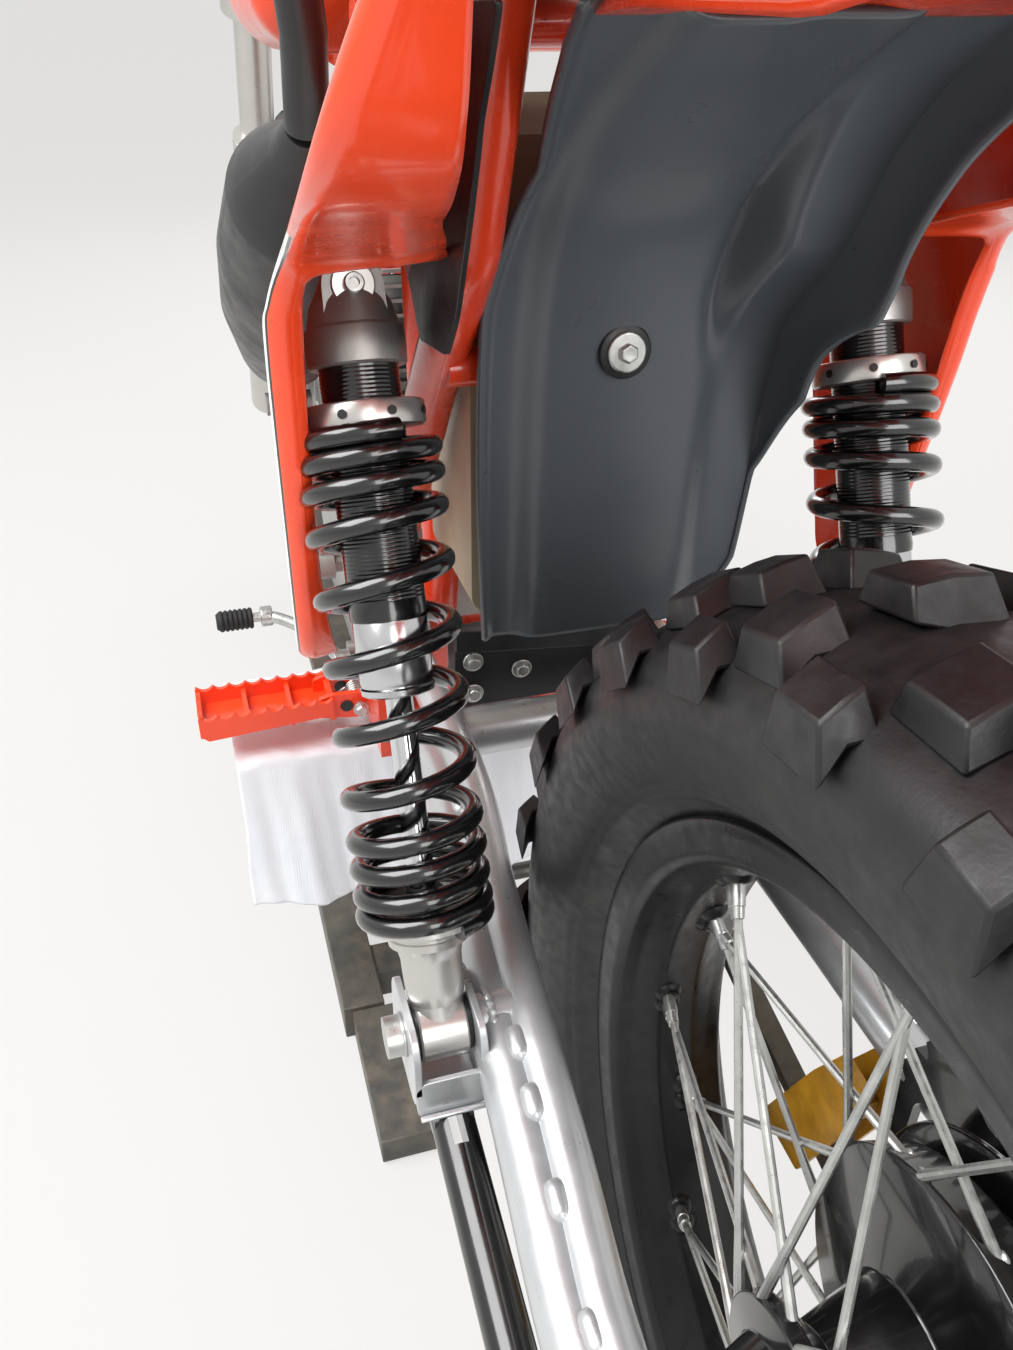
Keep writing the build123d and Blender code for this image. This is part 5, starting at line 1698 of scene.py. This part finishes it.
@dataclass
class Seat:
    """Padded bench seat: the cover swells under the foam's pressure, with a piped seam each side."""

    # The most that a point swells, and how far the form is drawn in first, in mm
    cap: float = 7.0
    drawn_in: float = 2.5
    voxel: float = 0.006
    pressure: float = 4.0
    frames: int = 20
    # Piping on the left side
    seam: tuple = ((45, 84, 551), (150, 100, 543), (300, 101, 536), (450, 92, 532), (560, 74, 530),
                   (626, 56, 534))

    def build(self, bench: Bench) -> None:
        """Make the seat in place of its node, and its piping.

        Args:
            bench: Where pieces are made.
        """
        piece = bench.remeshed("seat", "seat_padded", [VINYL], self.voxel)
        inward = read(piece.data.vertices, "normal") * self.drawn_in * MM
        self.move(piece.data, read(piece.data.vertices, "co") - inward)
        self.swell(piece)
        reshape(piece, "SUBSURF", levels=1, render_levels=1)
        piece.data.shade_smooth()
        bench.enrol(piece, replaces=("seat",))
        for word, side in reversed(SIDES.items()):
            line = flowing(np.array(self.seam) * (1, side, 1), 12)
            bench.add("seat_piping_" + word, [(along(line, circle(10, 1.8)), VINYL)])

    @staticmethod
    def move(mesh: bpy.types.Mesh, points: Array) -> None:
        """Put a mesh's vertices at these points, in metres."""
        mesh.vertices.foreach_set("co", points.ravel())
        mesh.update()

    def swell(self, piece: bpy.types.Object) -> None:
        """Let cloth pressure act for some frames, and keep each point within cap of its start.

        Args:
            piece: The seat.
        """
        start = read(piece.data.vertices, "co")
        cover = piece.modifiers.new("cover", "CLOTH")
        cover.settings.use_pressure = True
        cover.settings.uniform_pressure_force = self.pressure
        cover.settings.effector_weights.gravity = 0.0
        scene = bpy.context.scene
        for frame in range(1, self.frames + 1):
            scene.frame_set(frame)
        puffed = baked(piece)
        piece.modifiers.remove(cover)
        scene.frame_set(1)
        move = read(puffed.vertices, "co") - start
        size = np.linalg.norm(move, axis=1, keepdims=True)
        self.move(piece.data, start + move * np.minimum(1, self.cap * MM / np.maximum(size, 1e-9)))


@dataclass
class Mudguard:
    """Moulded guard along a line in side view, crowned across, with rolled edges and a raised rib."""

    node: str
    # (x, z, half width) points from its inner end
    spine: tuple
    crown: float = 11.0
    rib: float = 3.0

    def grid(self) -> Array:
        """Return its points: at share v of the half width, the line less crown*v^2 and 4*|v|^14 for
        the rolled edge, plus a rib whose height is rib/(1 + (v/0.3)^6) and which fades at both ends.
        The crown grows over the first third, and the last ninth narrows by 0.35 of its width.

        Returns:
            (rows, columns, 3) points.
        """
        line = flowing(self.spine, 14)
        v = np.linspace(-1, 1, 41)[None, :]
        tangent = unit(np.gradient(line[:, [0, 1]], axis=0))
        normal = np.stack([-tangent[:, 1], tangent[:, 0]], -1) * np.sign(tangent[:, :1])
        fade = np.sin(np.pi * np.linspace(0.04, 0.96, len(line)))[:, None] ** 0.4
        bent = np.clip(np.linspace(0, 3, len(line)), 0, 1)[:, None] ** 2
        high = self.rib * fade / (1 + (v / 0.3) ** 6) - bent * (self.crown * v**2 + 4 * np.abs(v) ** 14)
        end = 1 - 0.35 * np.clip(np.linspace(-8, 1, len(line)), 0, 1)[:, None] ** 3
        y = line[:, 2:] * v * end
        return np.stack([line[:, :1] + normal[:, :1] * high, y, line[:, 1:2] + normal[:, 1:] * high], -1)

    def build(self, bench: Bench, body: str, extra: Sequence[Part] = ()) -> None:
        """Make the guard in place of its node.

        Args:
            bench: Where it is made.
            body: Body that it rides on.
            extra: More parts of it.
        """
        parts = [(net(self.grid()), PANEL_ORANGE), *extra]
        bench.add(self.node + "_moulding", parts, body, (self.node,), smooth=60, thick=3.4)


@dataclass
class Tank:
    """Fuel tank: the CAD form with its corners rounded, a filler cap, and plain side stripes."""

    # Lower and upper Z of each stripe, which lie on the faces further out than stripes_from
    black: tuple = (488.0, 512.0)
    white: tuple = (512.0, 548.0)
    stripes_from: float = 60.0
    cap: Point = (850.0, 0.0, 670.0)
    grips: int = 10
    voxel: float = 0.005

    def build(self, bench: Bench) -> None:
        """Make the tank in place of its node, and its cap.

        Args:
            bench: Where pieces are made.
        """
        piece = bench.remeshed("fuel_tank", "fuel_tank_shell", [PANEL_ORANGE, STRIPE_BLACK, PANEL_WHITE],
                               self.voxel)
        reshape(piece, "SMOOTH", factor=0.5, iterations=14)
        _, y, z = bench.from_frame(read(piece.data.polygons, "center")).T
        mark = np.zeros(len(z), int)
        for number, (low, high) in enumerate((self.black, self.white), 1):
            mark[(np.abs(y) > self.stripes_from) & (z > low) & (z < high)] = number
        piece.data.polygons.foreach_set("material_index", mark)
        piece.data.shade_smooth()
        bench.enrol(piece, replaces=("fuel_tank",))
        cap = lathe([(0, 0), (0, 36), (14, 36), (16, 34), (18, 33), (20, 30), (20, 0)], self.cap,
                    (0, 0, 1), 48)
        angles = 2 * np.pi * np.arange(self.grips) / self.grips
        centres = np.tile(self.cap, (self.grips, 1))
        grips = brick((-3, 33, 2), (3, 37.5, 14)).copies(turn_z(angles), centres)
        bench.add("filler_cap", [(cap, TRIM_BLACK), (grips, TRIM_BLACK)], bevel=0.8)


@dataclass
class InnerParts:
    """Black moulded parts seen between the panels, the guard and the swingarm."""

    flap: tuple = ((219, 489), (229, 471), (242, 452), (248, 437), (257, 418), (268, 397), (280, 374),
                   (300, 352), (352, 345), (375, 372), (330, 396), (309, 416), (292, 433), (282, 456),
                   (267, 473), (256, 488))
    block: tuple = ((58, 22), (58, 82), (20, 84), (-62, 66), (-62, 22))
    strap: tuple = ((60, 78), (60, 96), (-70, 84), (-70, 66))
    bolts: tuple = ((44, 62), (44, 34), (6, 50))

    def build(self, bench: Bench) -> None:
        """Make the flap beside the left seat tube, and the block and strap ahead of the swingarm.

        Args:
            bench: Where pieces are made.
        """
        flap = prism(eased(self.flap, 4, 3, True), 106.5, 109)
        bench.add("inner_flap", [(flap, TRIM_BLACK)], bevel=0.4)
        bench.add("pivot_block", [(slab(eased(self.block, 6, 4, True), 500, 522), TRIM_BLACK),
                                  (slab(eased(self.strap, 4, 4, True), 488, 496), TRIM_BLACK),
                                  *((hexagon((500, y, z), (-1, 0, 0), 10, 4, 16), ZINC)
                                    for y, z in self.bolts)], bevel=1.0)


@dataclass
class PhotoCamera:
    """Camera at the photograph's viewing place."""

    eye: Point = (-177.59, 224.24, 495.53)
    right: Point = (-0.2859, -0.9583, 0.0093)
    down: Point = (-0.5161, 0.1458, -0.8441)
    focal_px: float = 1102.4
    long_px: float = 1350.0
    film: float = 36.0

    def build(self, bench: Bench) -> None:
        """Add it and make it the scene's camera.

        Args:
            bench: Where pieces are made.
        """
        right = unit(self.right)
        down = unit(np.asarray(self.down, float) - right * (right @ np.asarray(self.down, float)))
        lens = bpy.data.cameras.new("photo_camera")
        lens.sensor_fit = "AUTO"
        lens.sensor_width = self.film
        lens.lens = self.focal_px / self.long_px * self.film
        lens.clip_start = 0.01
        camera = new_object("photo_camera", lens)
        place = Matrix.Translation(Vector(bench.to_frame(self.eye).tolist()))
        turn = Matrix(np.stack([right, -down, np.cross(down, right)], 1).tolist()).to_4x4()
        camera.matrix_world = place @ turn
        bpy.context.scene.camera = camera


@dataclass
class Studio:
    """Plain pale floor, pale surroundings and soft lamps at a plain level."""

    floor: str = "DDDCDA"
    sky: str = "F1F0EE"
    lifted: float = 0.76
    light: float = 0.5
    # Half the floor's side and its gap under the stand, in metres
    reach: float = 60.0
    gap: float = 0.0005
    # (name, place, target, size in metres, power in watts)
    lamps: tuple = (("overcast", (-0.4, 1.8, 3.0), (-0.2, 0.1, 0.5), 2.4, 150),
                    ("behind", (-3.0, -0.6, 1.7), (-0.3, 0.0, 0.6), 2.0, 70),
                    ("ahead", (3.0, -1.6, 2.0), (0.2, 0.0, 0.6), 2.2, 55))

    @staticmethod
    def seen_rays(tree: bpy.types.NodeTree) -> tuple[bpy.types.Node, str]:
        """Add nodes that give 1 for camera, glossy and transmission rays, so that metal and glass show
        the same background as the camera does.

        Args:
            tree: Tree that gets them.

        Returns:
            (node, output) of that number.
        """
        path = add_node(tree, "LightPath")
        either = add_node(tree, "Math", {"operation": "MAXIMUM"},
                          {0: (path, "Is Camera Ray"), 1: (path, "Is Glossy Ray")})
        every = add_node(tree, "Math", {"operation": "MAXIMUM"},
                         {0: (either, "Value"), 1: (path, "Is Transmission Ray")})
        return every, "Value"

    def paper(self) -> bpy.types.Material:
        """Return the floor's material: matt paper that those rays also see part lit by itself, so
        that it meets the surroundings without an edge and keeps the shadow.

        Returns:
            The material.
        """
        material = bpy.data.materials.new("studio_paper")
        tree = node_tree(material)
        matt = add_node(tree, "BsdfDiffuse", {"Color": linear(self.floor)})
        glow = add_node(tree, "Emission", {"Color": linear(self.sky), "Strength": 1.0})
        share = add_node(tree, "Math", {"operation": "MULTIPLY", 1: self.lifted},
                         {0: self.seen_rays(tree)})
        mix = add_node(tree, "MixShader", {}, {0: (share, "Value"), 1: (matt, 0), 2: (glow, 0)})
        add_node(tree, "OutputMaterial", {}, {"Surface": (mix, 0)})
        return material

    def build(self) -> None:
        """Add the floor, the world and the lamps."""
        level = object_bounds()[0][2] - self.gap
        mesh = bpy.data.meshes.new("floor")
        ways = ((-1, -1), (1, -1), (1, 1), (-1, 1))
        corners = [(x * self.reach, y * self.reach, level) for x, y in ways]
        mesh.from_pydata(corners, [], [(0, 1, 2, 3)])
        mesh.materials.append(self.paper())
        new_object("floor", mesh)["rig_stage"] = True
        world = bpy.data.worlds.new("studio")
        bpy.context.scene.world = world
        tree = node_tree(world)
        light = add_node(tree, "Background", {"Color": linear(self.sky), "Strength": self.light})
        seen = add_node(tree, "Background", {"Color": linear(self.sky), "Strength": 1.0})
        mix = add_node(tree, "MixShader", {}, {0: self.seen_rays(tree), 1: (light, 0), 2: (seen, 0)})
        add_node(tree, "OutputWorld", {}, {"Surface": (mix, 0)})
        for name, place, target, size, power in self.lamps:
            lamp = bpy.data.lights.new(name, "AREA")
            lamp.size = size
            lamp.energy = power
            piece = new_object(name, lamp)
            piece.location = place
            piece.rotation_euler = (Vector(target) - Vector(place)).to_track_quat("-Z", "Y").to_euler()
        bpy.context.scene.view_settings.view_transform = "Standard"


@dataclass(frozen=True)
class Carried:
    """A CAD node whose shape is right, and the finish it gets."""

    node: str
    finish: Finish
    bevel: float = 0.0


CARRIED = (
    Carried("air_box", AIRBOX_TAN, 6),
    Carried("brake_pedal", TUBE_SILVER, 1),
    Carried("carburettor", CAST_ALLOY, 1),
    Carried("chain", CHAIN_STEEL),
    Carried("chain_guide", GUIDE_AMBER, 1.2),
    Carried("control_left", GRIP, 1),
    Carried("control_right", GRIP, 1),
    Carried("cylinder", CAST_ALLOY, 0.6),
    Carried("cylinder_head", CAST_ALLOY, 0.6),
    Carried("engine_cases", CAST_ALLOY, 4),
    Carried("exhaust_chamber", HEATPROOF),
    Carried("fork_left", TURNED_ALLOY, 1),
    Carried("fork_right", TURNED_ALLOY, 1),
    Carried("frame_cradle", FRAME_ORANGE, 0.8),
    Carried("frame_rear", FRAME_ORANGE, 0.8),
    Carried("frame_spine", FRAME_ORANGE, 0.8),
    Carried("front_axle", ZINC, 0.5),
    Carried("front_brake_plate", BLACK_ENAMEL, 0.8),
    Carried("handlebar", ZINC, 0.5),
    Carried("headlamp", LAMP_CLEAR, 0.8),
    Carried("headlamp_cowl", PANEL_WHITE, 4),
    Carried("kick_lever", CAST_ALLOY, 1),
    Carried("rear_axle", ZINC, 0.8),
    Carried("shock_bolt_left", ZINC, 0.6),
    Carried("shock_bolt_right", ZINC, 0.6),
    Carried("side_stand", BLACK_ENAMEL, 0.8),
    Carried("silencer", TURNED_ALLOY, 2),
    Carried("sprocket", BLACK_ENAMEL, 0.4),
    Carried("stand_base", STAND_GREY, 1.2),
    Carried("stand_damper", BLACK_ENAMEL, 0.8),
    Carried("stand_lever", STAND_GREY, 1.2),
    Carried("stand_links", STAND_GREY, 1),
    Carried("tail_lamp", LENS_RED, 3),
    Carried("yokes", TURNED_ALLOY, 1.2),
)


def build_wheels(bench: Bench) -> None:
    """Make both wheels and their tyres.

    Args:
        bench: Where pieces are made.
    """
    KnobbyTyre(centre=REAR_AXLE, seat=REAR_SEAT, crown=347, half=68, rim_half=34, drop=27, pitches=26,
               first=math.radians(80.65)).build(bench, "rear_tyre", "rear_wheel")
    KnobbyTyre(centre=FRONT_AXLE, seat=FRONT_SEAT, crown=352, half=46, rim_half=24, drop=22, pitches=28,
               first=0.0).build(bench, "front_tyre", "front_wheel")
    rear_hub = ((-60, 10.5), (-60, 84), (-58, 88), (-55, 88), (-53, 84), (-52, 70), (-46, 66), (-44, 80),
                (-40, 84), (-24, 87), (-20, 88), (-18, 85), (-17, 60), (-8, 38), (30, 27), (42, 44),
                (50, 44), (52, 30), (62, 26), (78, 22), (78, 10.5))
    front_hub = ((-44, 9), (-44, 64), (-40, 70), (-32, 70), (-28, 64), (28, 64), (32, 70), (40, 70),
                 (44, 62), (50, 24), (66, 20), (66, 9))
    SpokedWheel(centre=REAR_AXLE, seat=REAR_SEAT, half=34, flanges=((1, 46, 40), (-1, -24, 84)),
                hub=rear_hub, hub_finish=BLACK_ENAMEL).build(bench, "rear_rim", "rear_hub", "rear_wheel")
    SpokedWheel(centre=FRONT_AXLE, seat=FRONT_SEAT, half=24, flanges=((1, 36, 66), (-1, -36, 66)),
                hub=front_hub, hub_finish=CAST_ALLOY).build(bench, "front_rim", "front_hub",
                                                            "front_wheel")


def build_rear(bench: Bench) -> None:
    """Make the dampers, the swingarm, the guard, the side panels and the footpegs.

    Args:
        bench: Where pieces are made.
    """
    for word, side in SIDES.items():
        Shock((215.0, side * 140.0, 17.0)).build(bench, word)
    for word, side in SIDES.items():
        Swingarm(side).build(bench, word)
    Swingarm.cross(bench)
    RearGuard().build(bench)
    for word, side in SIDES.items():
        SidePanel(side).build(bench, word)
    InnerParts().build(bench)
    for word, side in SIDES.items():
        Footpeg(side).build(bench, word)


def main() -> None:
    """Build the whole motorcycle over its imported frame."""
    logging.basicConfig(level=logging.INFO, format="%(message)s")
    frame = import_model()
    low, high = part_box("rear_axle")
    bench = Bench((np.array(low) + np.array(high)) / 2)
    PhotoCamera().build(bench)
    build_wheels(bench)
    build_rear(bench)
    for piece in (GearLever(), StandDeck(), Cloth(), Seat(), Tank()):
        piece.build(bench)
    bracket = tube([(1166, 0, 471), (1192, 0, 418)], 36)
    Mudguard("front_mudguard", ((1178, 416, 44), (1330, 468, 62), (1480, 484, 66), (1640, 462, 62),
                                (1760, 420, 50))).build(bench, "steering", [(bracket, PANEL_ORANGE)])
    Mudguard("rear_mudguard", ((216, 486, 78), (100, 500, 92), (-60, 526, 100), (-200, 548, 96),
                               (-335, 556, 78)), crown=14, rib=4).build(bench, "root")
    for item in CARRIED:
        bench.dress(item.node, item.finish, frame["nodes"][item.node]["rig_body"], item.bevel)
    Studio().build()
    LOG.info("%d pieces", bench.made)


if __name__ == "__main__":
    main()
